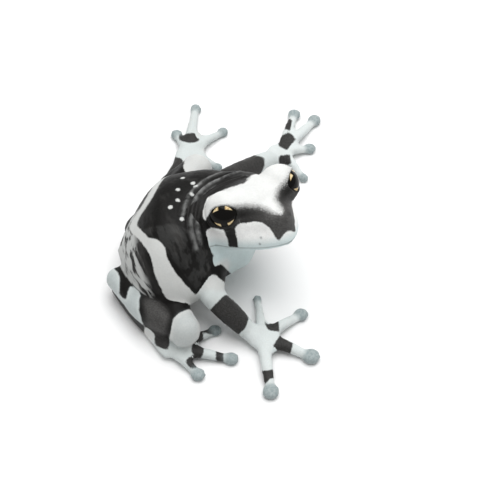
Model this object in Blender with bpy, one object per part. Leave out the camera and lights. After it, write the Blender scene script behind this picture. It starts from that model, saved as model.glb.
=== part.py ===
"""Amazon milk frog, a still life-size model of a young animal at rest.

The frog faces -Y with its left side at +X, and the floor is z = 0.
Sizes are in millimetres until a mesh is made, then in metres.
"""
import math

import bmesh
import bpy
from mathutils import Matrix, Vector

MM = 0.001
GAP = 0.3

# Head, in its own axes: s runs back from the lip, l to the frog's left, u up from the mouth line
HEAD_TURN = 46.2
HEAD_LIFT = 27.0
HEAD_ROLL = 6.8
LIP_FRONT = Vector((-9.4, -19.7, 19.0))
HEAD_WIDTH = 18.6
HEAD_LENGTH = 16.5
SNOUT_BLUNTNESS = 1.35
JAW_DEPTH = 5.0
NAPE_RISE = 3.0
LIP_TUCK = 0.35

EYE_RADIUS = 3.1
EYE_PLACE = (8.7, 6.6, 6.4)
EYE_FORWARD = 42.0
EYE_UP = 10.0
ORBIT_RADIUS = 3.75
ORBIT_INSET = 0.6
RIM_OFFSET = 1.7
LID_RADIUS = 0.36

CROWN_PLACE = (9.6, 0.0, 6.9)
CROWN_SIZES = (4.6, 7.2, 2.1)

NOSTRIL_PLACE = (0.75, 2.2, 4.35)
NOSTRIL_RADIUS = 0.36
TYMPANUM_PLACE = (13.4, 8.5, 3.6)
TYMPANUM_RADIUS = 1.7
TYMPANUM_RIM = 0.24

# Cross-sections of the head, and heights above and depths below the mouth line along its middle
HEAD_STATIONS = (0.06, 0.3, 0.8, 1.6, 2.8, 4.2, 5.8, 7.4, 9.0, 10.6, 12.2, 13.8, 15.2, 16.2)
HEAD_TOP = ((0.0, 3.6), (0.3, 4.7), (1.0, 5.5), (3.0, 6.3), (6.0, 7.2), (9.0, 7.8), (12.5, 8.2), (16.5, 8.5))
JAW_BOTTOM = ((0.0, 0.5), (0.4, 0.8), (2.0, 1.3), (6.0, 2.0), (10.0, 3.0), (16.5, JAW_DEPTH))
ARCH_POWER = 0.86
JAW_POWER = 0.8
JAW_SHIFT = 0.25

# Trunk stations: x, y, z of the middle, half width, height above and below it, lean of the top
TRUNK = (
    (-3.3, 11.7, 6.8, 1.0, 0.9, 0.9, 0.0),
    (-3.2, 10.6, 6.9, 4.0, 3.4, 3.1, 0.0),
    (-3.0, 8.9, 7.1, 7.4, 6.2, 5.0, 0.0),
    (-2.5, 6.4, 7.7, 10.6, 9.0, 6.7, 0.2),
    (-2.3, 3.8, 8.1, 12.4, 10.4, 7.5, 0.4),
    (-2.3, 0.0, 8.4, 13.2, 10.5, 7.9, 1.2),
    (-1.7, -3.4, 8.2, 12.0, 10.5, 7.4, 3.0),
    (0.0, -6.4, 8.0, 9.4, 9.8, 6.6, 3.6),
    (1.0, -9.6, 7.6, 7.4, 8.2, 5.4, 3.0),
    (0.6, -12.0, 7.0, 5.0, 5.2, 3.8, 1.5),
    (0.4, -13.4, 6.8, 1.6, 1.8, 1.4, 0.5),
)
# Neck stations: x, y, z, half width, height above and below, share of the head's own axes
NECK = (
    (0.0, -1.5, 11.0, 8.5, 7.6, 5.0, 0.25),
    (0.6, -4.6, 12.0, 9.4, 7.4, 5.6, 0.5),
    (1.4, -7.4, 12.8, 9.4, 6.9, 5.8, 0.8),
    (1.6, -9.5, 13.2, 8.8, 6.6, 6.0, 1.0),
    (0.4, -10.7, 14.0, 7.4, 5.2, 4.8, 1.0),
)

# Joints of the pose as x, y, z, and digit tips as x, y and a share of the full pad size
ARMS = {
    "right": {
        "shoulder": (-5.6, -6.2, 8.6),
        "elbow": (-13.7, -6.0, 7.8),
        "wrist": (-17.2, -12.8, 2.3),
        "palm": (-18.0, -15.4, 1.3),
        "tips": ((-8.6, -14.0, 0.55), (-11.8, -22.1, 0.85), (-21.2, -24.3, 1.0), (-29.3, -17.4, 0.97)),
    },
    "left": {
        "shoulder": (7.6, -7.6, 8.4),
        "elbow": (15.0, -6.9, 6.6),
        "wrist": (24.6, -15.0, 2.3),
        "palm": (27.0, -17.0, 1.3),
        "tips": ((21.4, -21.3, 0.6), (28.9, -22.2, 0.78), (36.3, -22.9, 0.84), (37.6, -18.9, 0.8)),
    },
}
LEGS = {
    "right": {
        "hip": (-6.0, 7.4, 6.2),
        "thigh": (-10.6, 3.4, 5.8),
        "knee": (-19.6, -1.3, 4.9),
        "calf": ((-15.6, 4.7, 4.6), (-11.4, 8.6, 4.4)),
        "heel": (-8.0, 11.6, 4.2),
        "tarsus": ((-12.6, 8.7, 1.5), (-16.2, 5.8, 1.5)),
        "ankle": (-19.1, 3.5, 1.4),
        "sole": (-21.3, 0.7, 1.2),
        "tips": (
            (-16.0, 2.5, 0.6), (-16.6, -1.9, 0.65), (-16.2, -6.6, 0.76),
            (-22.4, -9.9, 0.84), (-26.2, -4.2, 0.84),
        ),
    },
    "left": {
        "hip": (2.0, 8.0, 6.4),
        "thigh": (9.4, 4.0, 6.2),
        "knee": (18.4, -1.0, 5.2),
        "calf": ((15.6, 2.4, 4.4), (12.4, 5.0, 4.1)),
        "heel": (8.6, 7.0, 3.5),
        "tarsus": ((13.4, 5.6, 1.5), (18.0, 4.2, 1.5)),
        "ankle": (22.2, 2.6, 1.4),
        "sole": (26.2, 1.2, 1.2),
        "tips": (
            (21.8, -1.4, 0.6), (23.3, -4.6, 0.62), (32.4, -5.1, 0.68),
            (38.2, 0.6, 0.7), (31.2, 3.8, 0.72),
        ),
    },
}

ELBOW_RADIUS = 2.15
FOREARM_RADIUS = 2.15
WRIST_RADIUS = 1.7
HIP_RADIUS = 3.2
THIGH_RADIUS = 2.5
KNEE_RADIUS = 3.0
CALF_RADIUS = 2.65
HEEL_RADIUS = 2.2
TARSUS_RADIUS = 1.4
PALM_SPREAD = 1.6
PALM_THICK = 0.66
# Digit radii at the root, the middle and the neck of a full size digit, and how fast they follow its size
DIGIT_RADII = (1.42, 1.16, 0.92)
DIGIT_LEAST = 0.4
DIGIT_ARCH = 0.35
PAD_LENGTH = 1.7
PAD_WIDTH = 1.6
PAD_THICK = 0.95
PAD_SINK = 0.15
FINGER_WEB = 0.42
TOE_WEB = 0.55
WEB_THICK = 0.66
WEB_STEP = 0.03
WEB_SCOOP = 0.3

FLOOR_BLOCK = (60.0, 60.0, 10.0)
# Nodes whose pieces join cleanly only with the exact solver
SOLVERS = {"foot_left": "EXACT"}

LIMB_SIDES = 14
DIGIT_SIDES = 8
PAD_SEGMENTS = 12
TRUNK_SIDES = 30
BODY_SQUARENESS = 0.9
HEAD_SIDES = 32
LIP_SIDES = 7
CROWN_SEGMENTS = 20
EAR_SEGMENTS = 18
EYE_SEGMENTS = 24
RIM_SIDES = 6
SMOOTH_ANGLE = math.radians(50.0)

COLOURS = {
    "skin_dark": ((0.030, 0.028, 0.026, 1.0), 0.42),
    "skin_pale": ((0.72, 0.76, 0.75, 1.0), 0.40),
    "eye_gloss": ((0.010, 0.008, 0.006, 1.0), 0.08),
}


def clear_scene():
    """Remove what the file opened with."""
    for thing in list(bpy.data.objects):
        bpy.data.objects.remove(thing)


def make_material(name):
    """Give back the named material, made on first use."""
    if name in bpy.data.materials:
        return bpy.data.materials[name]
    colour, roughness = COLOURS[name]
    material = bpy.data.materials.new(name)
    material.use_nodes = True
    shader = material.node_tree.nodes["Principled BSDF"]
    shader.inputs["Base Color"].default_value = colour
    shader.inputs["Roughness"].default_value = roughness
    return material


def object_from(name, shape):
    """Object made of a bmesh, which is then freed."""
    mesh = bpy.data.meshes.new(name)
    shape.to_mesh(mesh)
    shape.free()
    result = bpy.data.objects.new(name, mesh)
    bpy.context.scene.collection.objects.link(result)
    return result


def head_axes():
    """Directions of the head: back along s, left along l, up along u."""
    turn = math.radians(HEAD_TURN)
    lift = math.radians(HEAD_LIFT)
    roll = math.radians(HEAD_ROLL)
    forward = Vector((-math.sin(turn) * math.cos(lift), -math.cos(turn) * math.cos(lift), math.sin(lift)))
    level_left = Vector((math.cos(turn), -math.sin(turn), 0.0))
    level_up = level_left.cross(-forward).normalized()
    if level_up.z < 0.0:
        level_up = -level_up
    left = level_left * math.cos(roll) - level_up * math.sin(roll)
    up = level_up * math.cos(roll) + level_left * math.sin(roll)
    return -forward, left, up


BACK, LEFT, UP = head_axes()


def head_point(s, l, u):
    """World place of a point given in the head's own axes."""
    return LIP_FRONT + BACK * s + LEFT * l + UP * u


def smooth_rows(rows, steps):
    """Catmull-Rom rows through the given rows, with some steps for each span."""
    result = []
    last = len(rows) - 1
    for span in range(last):
        before = rows[max(span - 1, 0)]
        here = rows[span]
        there = rows[span + 1]
        after = rows[min(span + 2, last)]
        for step in range(steps):
            t = step / steps
            row = []
            for a, b, c, d in zip(before, here, there, after):
                bend = 2 * a - 5 * b + 4 * c - d
                twist = 3 * b - a - 3 * c + d
                row.append(0.5 * (2 * b + (c - a) * t + bend * t * t + twist * t ** 3))
            result.append(row)
    result.append(list(rows[last]))
    return result


def section(middle, side, up, half_width, above, below, count, power=1.0, lean=0.0):
    """Closed ring of points: an oval with its own heights above and below, its top leant sideways."""
    points = []
    for index in range(count):
        angle = 2.0 * math.pi * index / count
        across = math.copysign(abs(math.cos(angle)) ** power, math.cos(angle))
        rise = math.copysign(abs(math.sin(angle)) ** power, math.sin(angle))
        height = above if rise >= 0.0 else below
        shift = lean * max(rise, 0.0)
        points.append(middle + side * (half_width * across + shift) + up * (height * rise))
    return points


def mesh_from_rings(name, rings, first_tip, last_tip):
    """Closed mesh object that joins rings of points and ends in two tips."""
    shape = bmesh.new()
    rows = [[shape.verts.new(point * MM) for point in ring] for ring in rings]
    for row, following in zip(rows, rows[1:]):
        for index in range(len(row)):
            after = (index + 1) % len(row)
            shape.faces.new((row[index], row[after], following[after], following[index]))
    for row, tip in ((rows[0], first_tip), (rows[-1], last_tip)):
        point = shape.verts.new(tip * MM)
        for index in range(len(row)):
            shape.faces.new((row[index], row[(index + 1) % len(row)], point))
    bmesh.ops.recalc_face_normals(shape, faces=shape.faces)
    return object_from(name, shape)


def frame_along(direction):
    """Level side and upward direction of a section that faces along a direction."""
    side = Vector((0.0, 0.0, 1.0)).cross(direction).normalized()
    return side, direction.cross(side).normalized()


def tube(name, stations, sides, grow=0.0, steps=3):
    """Round-ended limb through stations of x, y, z, half width and half height."""
    rows = smooth_rows(stations, steps)
    middles = [Vector(row[:3]) for row in rows]
    rings = []
    ends = []
    for index, row in enumerate(rows):
        before = middles[max(index - 1, 0)]
        after = middles[min(index + 1, len(rows) - 1)]
        direction = (after - before).normalized()
        side, up = frame_along(direction)
        wide = row[3] + grow
        high = row[4] + grow
        if index in (0, len(rows) - 1):
            outward = -direction if index == 0 else direction
            reach = min(wide, high)
            caps = []
            for turn in (30.0, 60.0):
                place = middles[index] + outward * (reach * math.sin(math.radians(turn)))
                less = math.cos(math.radians(turn))
                caps.append(section(place, side, up, wide * less, high * less, high * less, sides))
            ends.append(middles[index] + outward * reach)
            if index == 0:
                rings.extend(reversed(caps))
        rings.append(section(middles[index], side, up, wide, high, high, sides))
        if index == len(rows) - 1:
            rings.extend(caps)
    return mesh_from_rings(name, rings, ends[0], ends[1])


def ball(name, middle, sizes, grow=0.0, segments=16, turn=None):
    """Closed ellipsoid with half sizes along its own X, Y and Z."""
    shape = bmesh.new()
    bmesh.ops.create_uvsphere(shape, u_segments=segments, v_segments=segments // 2, radius=1.0)
    scale = Matrix.Diagonal([(size + grow) * MM for size in sizes]).to_4x4()
    place = Matrix.Translation(Vector(middle) * MM)
    spin = turn.to_4x4() if turn else Matrix.Identity(4)
    shape.transform(place @ spin @ scale)
    return object_from(name, shape)


def torus(name, middle, axis, ring_radius, rim_radius, segments):
    """Closed ring of round section about an axis."""
    side = axis.orthogonal().normalized()
    other = axis.cross(side)
    shape = bmesh.new()
    rows = []
    for index in range(segments):
        angle = 2.0 * math.pi * index / segments
        outward = side * math.cos(angle) + other * math.sin(angle)
        centre = middle + outward * ring_radius
        row = []
        for corner in range(RIM_SIDES):
            roll = 2.0 * math.pi * corner / RIM_SIDES
            across = outward * math.cos(roll) + axis * math.sin(roll)
            row.append(shape.verts.new((centre + across * rim_radius) * MM))
        rows.append(row)
    for index, row in enumerate(rows):
        following = rows[(index + 1) % segments]
        for corner in range(RIM_SIDES):
            after = (corner + 1) % RIM_SIDES
            shape.faces.new((row[corner], row[after], following[after], following[corner]))
    bmesh.ops.recalc_face_normals(shape, faces=shape.faces)
    return object_from(name, shape)


def web(name, first, second, reach, thick):
    """Thin skin between two digits, each a list of points from its base."""
    long_steps = 4
    cross_steps = 4
    shape = bmesh.new()
    faces = []
    for level in (thick / 2, -thick / 2):
        rows = []
        for step in range(long_steps + 1):
            row = []
            for cross in range(cross_steps + 1):
                v = cross / cross_steps
                u = reach * step / long_steps * (1.0 - WEB_SCOOP * 4.0 * v * (1.0 - v))
                point = point_along(first, u).lerp(point_along(second, u), v)
                row.append(shape.verts.new((point + Vector((0.0, 0.0, level))) * MM))
            rows.append(row)
        faces.append(rows)
    for rows in faces:
        for row, following in zip(rows, rows[1:]):
            for cross in range(cross_steps):
                shape.faces.new((row[cross], row[cross + 1], following[cross + 1]))
                shape.faces.new((row[cross], following[cross + 1], following[cross]))
    top, bottom = faces
    border_top = border(top)
    border_bottom = border(bottom)
    for index in range(len(border_top)):
        after = (index + 1) % len(border_top)
        shape.faces.new((border_top[index], border_top[after], border_bottom[after], border_bottom[index]))
    bmesh.ops.recalc_face_normals(shape, faces=shape.faces)
    return object_from(name, shape)


def border(rows):
    """Loop of the outer points of a grid."""
    right = [row[-1] for row in rows[1:-1]]
    left = [row[0] for row in rows[-2:0:-1]]
    return rows[0] + right + rows[-1][::-1] + left


def point_along(points, fraction):
    """Point at a fraction of a list of points."""
    place = fraction * (len(points) - 1)
    index = min(int(place), len(points) - 2)
    return points[index].lerp(points[index + 1], place - index)


def evaluated_mesh(thing):
    """New mesh of an object with its modifiers applied."""
    graph = bpy.context.evaluated_depsgraph_get()
    return bpy.data.meshes.new_from_object(thing.evaluated_get(graph), depsgraph=graph)


def combine(target, others, operation, solver="EXACT"):
    """Join other objects to the target, or cut them from it, and remove them."""
    if not others:
        return target
    group = bpy.data.collections.new("operands")
    bpy.context.scene.collection.children.link(group)
    for other in others:
        group.objects.link(other)
    modifier = target.modifiers.new("combine", "BOOLEAN")
    modifier.operation = operation
    modifier.operand_type = "COLLECTION"
    modifier.collection = group
    modifier.solver = solver
    mesh = evaluated_mesh(target)
    target.modifiers.clear()
    target.data = mesh
    for other in others:
        bpy.data.objects.remove(other)
    bpy.data.collections.remove(group)
    keep_largest(target)
    return target


def keep_largest(thing):
    """Keep only the largest closed surface of an object."""
    shape = bmesh.new()
    shape.from_mesh(thing.data)
    unseen = set(shape.verts)
    shells = []
    while unseen:
        stack = [unseen.pop()]
        shell = set(stack)
        while stack:
            for edge in stack.pop().link_edges:
                for vertex in edge.verts:
                    if vertex in unseen:
                        unseen.discard(vertex)
                        shell.add(vertex)
                        stack.append(vertex)
        shells.append(shell)
    shells.sort(key=shell_size, reverse=True)
    for shell in shells[1:]:
        bmesh.ops.delete(shape, geom=list(shell), context="VERTS")
    shape.to_mesh(thing.data)
    shape.free()


def shell_size(shell):
    """Diagonal of the box round a set of vertices."""
    low = [min(vertex.co[axis] for vertex in shell) for axis in range(3)]
    high = [max(vertex.co[axis] for vertex in shell) for axis in range(3)]
    return (Vector(high) - Vector(low)).length


def floor_block():
    """Block below the floor that cuts the small flats."""
    shape = bmesh.new()
    bmesh.ops.create_cube(shape, size=2.0)
    scale = Matrix.Diagonal([half * MM for half in FLOOR_BLOCK]).to_4x4()
    shape.transform(Matrix.Translation(Vector((0.0, 0.0, -FLOOR_BLOCK[2])) * MM) @ scale)
    return object_from("floor", shape)


def mouth_half_width(s):
    """Half width of the mouth line at a distance behind the lip."""
    run = max(0.0, 1.0 - s / HEAD_LENGTH)
    return HEAD_WIDTH / 2 * math.sqrt(1.0 - run ** SNOUT_BLUNTNESS)


def head_top(s):
    """Height of the head above the mouth line along its middle."""
    return curve_value(HEAD_TOP, s)


def jaw_bottom(s):
    """Depth of the lower jaw below the mouth line along its middle."""
    return curve_value(JAW_BOTTOM, s)


def curve_value(rows, place):
    """Value between the two nearest rows of place and value."""
    for (start, low), (end, high) in zip(rows, rows[1:]):
        if place <= end:
            part = max(0.0, (place - start) / (end - start))
            return low + (high - low) * part
    return rows[-1][1]


def skull_ring(s, width, top, grow):
    """Half-oval ring above the mouth line, with a rounded lip edge."""
    points = []
    arch = HEAD_SIDES - LIP_SIDES - 1
    tuck = min(LIP_TUCK, width * 0.3)
    for index in range(arch + 1):
        angle = math.pi * index / arch
        across = math.copysign(abs(math.cos(angle)) ** ARCH_POWER, math.cos(angle))
        rise = math.sin(angle) ** ARCH_POWER
        points.append(head_point(s, (width + grow) * across, tuck + (top - tuck + grow) * rise))
    base = -grow
    edge = width - tuck + grow
    for index in range(LIP_SIDES):
        part = 1.0 - 2.0 * index / (LIP_SIDES - 1)
        points.append(head_point(s, -edge * part, base))
    return points


def skull_loft(grow=0.0):
    """Upper head from the lip to the back of the skull."""
    rings = [skull_ring(s, mouth_half_width(s), head_top(s), grow) for s in HEAD_STATIONS]
    back = HEAD_STATIONS[-1]
    for step, less in ((0.9, 0.86), (1.5, 0.6)):
        ring = skull_ring(back + step + grow, mouth_half_width(back) * less, head_top(back) * less, grow)
        rings.append([point + UP * (1.0 - less) * NAPE_RISE for point in ring])
    front = head_point(-0.12 - grow, 0.0, 1.6)
    return mesh_from_rings("skull", rings, front, head_point(back + 1.8 + grow, 0.0, 3.8))


def jaw_ring(s, width, bottom, grow):
    """Half-oval ring below the mouth line."""
    points = []
    arch = HEAD_SIDES - LIP_SIDES - 1
    tuck = LIP_TUCK * 0.6
    top = -GAP + grow
    edge = max(width - LIP_TUCK, 0.12) + grow
    for index in range(arch + 1):
        angle = math.pi * index / arch
        across = math.copysign(abs(math.cos(angle)) ** JAW_POWER, math.cos(angle))
        drop = math.sin(angle) ** 0.9
        points.append(head_point(s, edge * across, top - tuck - (bottom - tuck - GAP + 2 * grow) * drop))
    for index in range(LIP_SIDES):
        part = 1.0 - 2.0 * index / (LIP_SIDES - 1)
        points.append(head_point(s, -(edge - min(tuck, edge * 0.3)) * part, top))
    return points


def jaw_loft(grow=0.0):
    """Lower jaw and throat floor."""
    rings = []
    for s in HEAD_STATIONS:
        rings.append(jaw_ring(s + JAW_SHIFT, mouth_half_width(s), jaw_bottom(s), grow))
    back = HEAD_STATIONS[-1] + JAW_SHIFT
    ring = jaw_ring(back + 0.8, mouth_half_width(back) * 0.8, jaw_bottom(back) * 0.7, grow)
    rings.append(ring)
    front = head_point(0.18 - grow, 0.0, -GAP - 0.3)
    return mesh_from_rings("jaw", rings, front, head_point(back + 1.1 + grow, 0.0, -2.0))


def eye_axis(sign):
    """Direction in which an eye looks."""
    forward = math.radians(EYE_FORWARD)
    up = math.radians(EYE_UP)
    level = -BACK * math.sin(forward) + LEFT * (sign * math.cos(forward))
    return (level * math.cos(up) + UP * math.sin(up)).normalized()


def eye_middle(sign):
    """Centre of an eyeball."""
    s, l, u = EYE_PLACE
    return head_point(s, sign * l, u)


def skull_pieces(grow=0.0):
    """Everything of the upper head that is joined to one solid."""
    turn = Matrix((BACK, -LEFT, UP)).transposed()
    crown = ball("crown", head_point(*CROWN_PLACE), CROWN_SIZES, grow, CROWN_SEGMENTS, turn)
    pieces = [skull_loft(grow), crown]
    rim = math.sqrt((EYE_RADIUS + GAP) ** 2 - RIM_OFFSET ** 2)
    for sign in (-1.0, 1.0):
        axis = eye_axis(sign)
        middle = eye_middle(sign)
        pieces.append(ball("orbit", middle - axis * ORBIT_INSET, (ORBIT_RADIUS,) * 3, grow, CROWN_SEGMENTS))
        pieces.append(torus("lid", middle + axis * RIM_OFFSET, axis, rim, LID_RADIUS + grow, EYE_SEGMENTS))
        s, l, u = TYMPANUM_PLACE
        outward = (LEFT * sign + UP * 0.3).normalized()
        middle = head_point(s, sign * l, u)
        pieces.append(torus("tympanum", middle, outward, TYMPANUM_RADIUS, TYMPANUM_RIM + grow, EAR_SEGMENTS))
    return pieces


def build_head():
    """Upper head with orbits, lids, nostrils and ears, cut clear of the eyes."""
    pieces = skull_pieces()
    head = combine(pieces[0], pieces[1:], "UNION")
    cutters = []
    for sign in (-1.0, 1.0):
        sizes = (EYE_RADIUS,) * 3
        cutters.append(ball("socket", eye_middle(sign), sizes, GAP, EYE_SEGMENTS, eye_turn(sign)))
        s, l, u = NOSTRIL_PLACE
        cutters.append(ball("nostril", head_point(s, sign * l, u), (NOSTRIL_RADIUS,) * 3, 0.0, 8))
    head = combine(head, cutters, "DIFFERENCE")
    return finish(head, "head", head_point(HEAD_LENGTH, 0.0, 0.0), "skin_pale")


def eye_turn(sign):
    """Rotation that points an eyeball's own Z along its axis."""
    return Vector((0.0, 0.0, 1.0)).rotation_difference(eye_axis(sign)).to_matrix()


def build_jaw():
    """Lower jaw below the line of the mouth."""
    jaw = jaw_loft()
    return finish(jaw, "lower_jaw", head_point(HEAD_LENGTH, 0.0, -GAP), "skin_pale")


def build_eye(side, sign):
    """One eyeball, its pole at the pupil."""
    eye = ball("eye_" + side, eye_middle(sign), (EYE_RADIUS,) * 3, 0.0, EYE_SEGMENTS, eye_turn(sign))
    return finish(eye, "eye_" + side, eye_middle(sign), "eye_gloss")


def trunk_loft(grow=0.0):
    """Trunk from the vent to the chest, with level sections."""
    rows = smooth_rows(TRUNK, 2)
    side = Vector((1.0, 0.0, 0.0))
    up = Vector((0.0, 0.0, 1.0))
    rings = []
    for row in rows:
        middle = Vector(row[:3])
        sizes = [size + grow for size in row[3:6]]
        rings.append(section(middle, side, up, *sizes, TRUNK_SIDES, BODY_SQUARENESS, row[6]))
    first = Vector(TRUNK[0][:3]) + Vector((0.0, 0.3 + grow, 0.0))
    last = Vector(TRUNK[-1][:3]) - Vector((0.0, 0.3 + grow, 0.0))
    return mesh_from_rings("trunk", rings, first, last)


def neck_loft(grow=0.0):
    """Neck whose sections turn from the trunk's axes to the head's."""
    rings = []
    for row in smooth_rows(NECK, 2):
        share = row[6]
        side = (Vector((1.0, 0.0, 0.0)) * (1.0 - share) + LEFT * share).normalized()
        up = (Vector((0.0, 0.0, 1.0)) * (1.0 - share) + UP * share).normalized()
        sizes = [size + grow for size in row[3:6]]
        rings.append(section(Vector(row[:3]), side, up, *sizes, TRUNK_SIDES, BODY_SQUARENESS))
    first = Vector(NECK[0][:3]) + Vector((0.0, 2.0, 0.0))
    last = Vector(NECK[-1][:3]) - BACK * 1.5
    return mesh_from_rings("neck", rings, first, last)


def trunk_pieces(grow=0.0):
    """Trunk and neck as closed meshes."""
    return [trunk_loft(grow), neck_loft(grow)]


def build_torso():
    """Trunk and neck in one solid, cut clear of the head."""
    pieces = trunk_pieces()
    torso = combine(pieces[0], pieces[1:], "UNION")
    cutters = skull_pieces(GAP) + [jaw_loft(GAP), floor_block()]
    torso = combine(torso, cutters, "DIFFERENCE")
    return finish(torso, "torso", Vector(TRUNK[4][:3]), "skin_dark")


def upper_arm_pieces(side, grow=0.0):
    """Upper arm from the shoulder to the elbow."""
    pose = ARMS[side]
    shoulder = Vector(pose["shoulder"])
    elbow = Vector(pose["elbow"])
    middle = shoulder.lerp(elbow, 0.5)
    stations = (
        (*shoulder, ELBOW_RADIUS * 1.15, ELBOW_RADIUS * 1.15),
        (*middle, ELBOW_RADIUS, ELBOW_RADIUS),
        (*elbow, ELBOW_RADIUS, ELBOW_RADIUS),
    )
    return [tube("upper_arm", stations, LIMB_SIDES, grow)]


def forearm_pieces(side, grow=0.0):
    """Forearm from the elbow to the wrist."""
    pose = ARMS[side]
    elbow = Vector(pose["elbow"])
    wrist = Vector(pose["wrist"])
    stations = (
        (*elbow, ELBOW_RADIUS, ELBOW_RADIUS),
        (*elbow.lerp(wrist, 0.4), FOREARM_RADIUS, FOREARM_RADIUS),
        (*elbow.lerp(wrist, 0.75), FOREARM_RADIUS * 0.9, FOREARM_RADIUS * 0.88),
        (*wrist, WRIST_RADIUS, WRIST_RADIUS * 0.9),
    )
    return [tube("forearm", stations, LIMB_SIDES, grow)]


def digit_radii(size):
    """Radii of a digit at its root, middle and neck."""
    share = DIGIT_LEAST + (1.0 - DIGIT_LEAST) * size
    return [radius * share for radius in DIGIT_RADII]


def pad_height(size):
    """Half thickness of a pad."""
    return PAD_THICK * (DIGIT_LEAST + (1.0 - DIGIT_LEAST) * size)


def digit_points(base, tip):
    """Centre line of a digit from its base to the middle of its pad."""
    x, y, size = tip
    end = Vector((x, y, pad_height(size) - PAD_SINK))
    neck = end - (end - base).normalized() * PAD_LENGTH * size * 0.9
    middle = base.lerp(neck, 0.5) + Vector((0.0, 0.0, DIGIT_ARCH))
    return [base, middle, neck, end]


def digit_pieces(points, size, grow=0.0):
    """Digit with a neck and a round pad."""
    base, middle, neck, end = points
    root, waist, narrow = digit_radii(size)
    stations = (
        (*base, root, root * 0.8),
        (*middle, waist, waist * 0.85),
        (*neck, narrow, narrow * 0.82),
        (*neck.lerp(end, 0.55), narrow * 0.8, narrow * 0.6),
    )
    heading = math.atan2(end.y - middle.y, end.x - middle.x)
    turn = Matrix.Rotation(heading + math.pi / PAD_SEGMENTS, 3, "Z")
    pad_sizes = (PAD_LENGTH * size, PAD_WIDTH * size, pad_height(size))
    pad = ball("pad", end, pad_sizes, grow, PAD_SEGMENTS, turn)
    return [tube("digit", stations, DIGIT_SIDES, grow, 2), pad]


def paddle_pieces(wrist, palm, tips, wrist_radius, reach, grow=0.0):
    """Palm or sole with its digits and webs."""
    start = Vector(wrist)
    middle = Vector(palm)
    stations = (
        (*start, wrist_radius, wrist_radius * 0.9),
        (*start.lerp(middle, 0.6), wrist_radius * PALM_SPREAD * 0.9, wrist_radius * 0.8),
        (*middle, wrist_radius * PALM_SPREAD, wrist_radius * PALM_THICK),
    )
    pieces = [tube("palm", stations, LIMB_SIDES, grow)]
    lines = []
    for tip in tips:
        outward = (Vector((tip[0], tip[1], middle.z)) - middle).normalized()
        base = middle + outward * wrist_radius * 0.5
        line = digit_points(base, tip)
        pieces.extend(digit_pieces(line, tip[2], grow))
        lines.append(line)
    for index, (first, second) in enumerate(zip(lines, lines[1:])):
        one = [Vector(row) for row in smooth_rows([tuple(point) for point in first], 4)]
        two = [Vector(row) for row in smooth_rows([tuple(point) for point in second], 4)]
        thick = WEB_THICK + WEB_STEP * index + 2 * grow
        pieces.append(web("web", one, two, reach, thick))
    return pieces


def hand_pieces(side, grow=0.0):
    """Hand with four fingers."""
    pose = ARMS[side]
    return paddle_pieces(pose["wrist"], pose["palm"], pose["tips"], WRIST_RADIUS, FINGER_WEB, grow)


def foot_pieces(side, grow=0.0):
    """Foot with five toes."""
    pose = LEGS[side]
    return paddle_pieces(pose["ankle"], pose["sole"], pose["tips"], TARSUS_RADIUS, TOE_WEB, grow)


def thigh_pieces(side, grow=0.0):
    """Thigh from the hip to the knee."""
    pose = LEGS[side]
    stations = (
        (*pose["hip"], HIP_RADIUS, HIP_RADIUS),
        (*pose["thigh"], THIGH_RADIUS, THIGH_RADIUS * 1.1),
        (*pose["knee"], KNEE_RADIUS, KNEE_RADIUS),
    )
    return [tube("thigh", stations, LIMB_SIDES, grow, 4)]


def shank_pieces(side, grow=0.0):
    """Shank from the knee back to the heel."""
    pose = LEGS[side]
    stations = (
        (*pose["knee"], KNEE_RADIUS * 0.85, KNEE_RADIUS * 0.85),
        (*pose["calf"][0], CALF_RADIUS, CALF_RADIUS),
        (*pose["calf"][1], CALF_RADIUS * 0.92, CALF_RADIUS * 0.92),
        (*pose["heel"], HEEL_RADIUS, HEEL_RADIUS),
    )
    return [tube("shank", stations, LIMB_SIDES, grow)]


def tarsus_pieces(side, grow=0.0):
    """Tarsus from the heel forward under the shank."""
    pose = LEGS[side]
    stations = (
        (*pose["heel"][:2], TARSUS_RADIUS, TARSUS_RADIUS, TARSUS_RADIUS),
        (*pose["tarsus"][0], TARSUS_RADIUS, TARSUS_RADIUS),
        (*pose["tarsus"][1], TARSUS_RADIUS, TARSUS_RADIUS),
        (*pose["ankle"], TARSUS_RADIUS, TARSUS_RADIUS),
    )
    return [tube("tarsus", stations, LIMB_SIDES, grow)]


def finish(thing, name, origin, material):
    """Name a solid, set its origin, material and smooth shading."""
    thing.name = name
    thing.data.name = name
    thing.data.transform(Matrix.Translation(-origin * MM))
    thing.location = origin * MM
    thing.data.materials.clear()
    thing.data.materials.append(make_material(material))
    thing.data.shade_smooth()
    thing.data.set_sharp_from_angle(angle=SMOOTH_ANGLE)
    return thing


def build_part(name, pieces, cutters, origin, material):
    """Join pieces to one solid and cut it clear of its neighbours and the floor."""
    solid = combine(pieces[0], pieces[1:], "UNION", SOLVERS.get(name, "MANIFOLD"))
    solid = combine(solid, cutters + [floor_block()], "DIFFERENCE")
    return finish(solid, name, Vector(origin), material)


def build_arm(side):
    """Upper arm, forearm and hand of one side."""
    pose = ARMS[side]
    body = trunk_pieces(GAP) + [jaw_loft(GAP)]
    nodes = [build_part("upper_arm_" + side, upper_arm_pieces(side), body, pose["shoulder"], "skin_dark")]
    cutters = upper_arm_pieces(side, GAP) + trunk_pieces(GAP)
    nodes.append(build_part("forearm_" + side, forearm_pieces(side), cutters, pose["elbow"], "skin_dark"))
    cutters = forearm_pieces(side, GAP)
    nodes.append(build_part("hand_" + side, hand_pieces(side), cutters, pose["wrist"], "skin_pale"))
    return nodes


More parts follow.
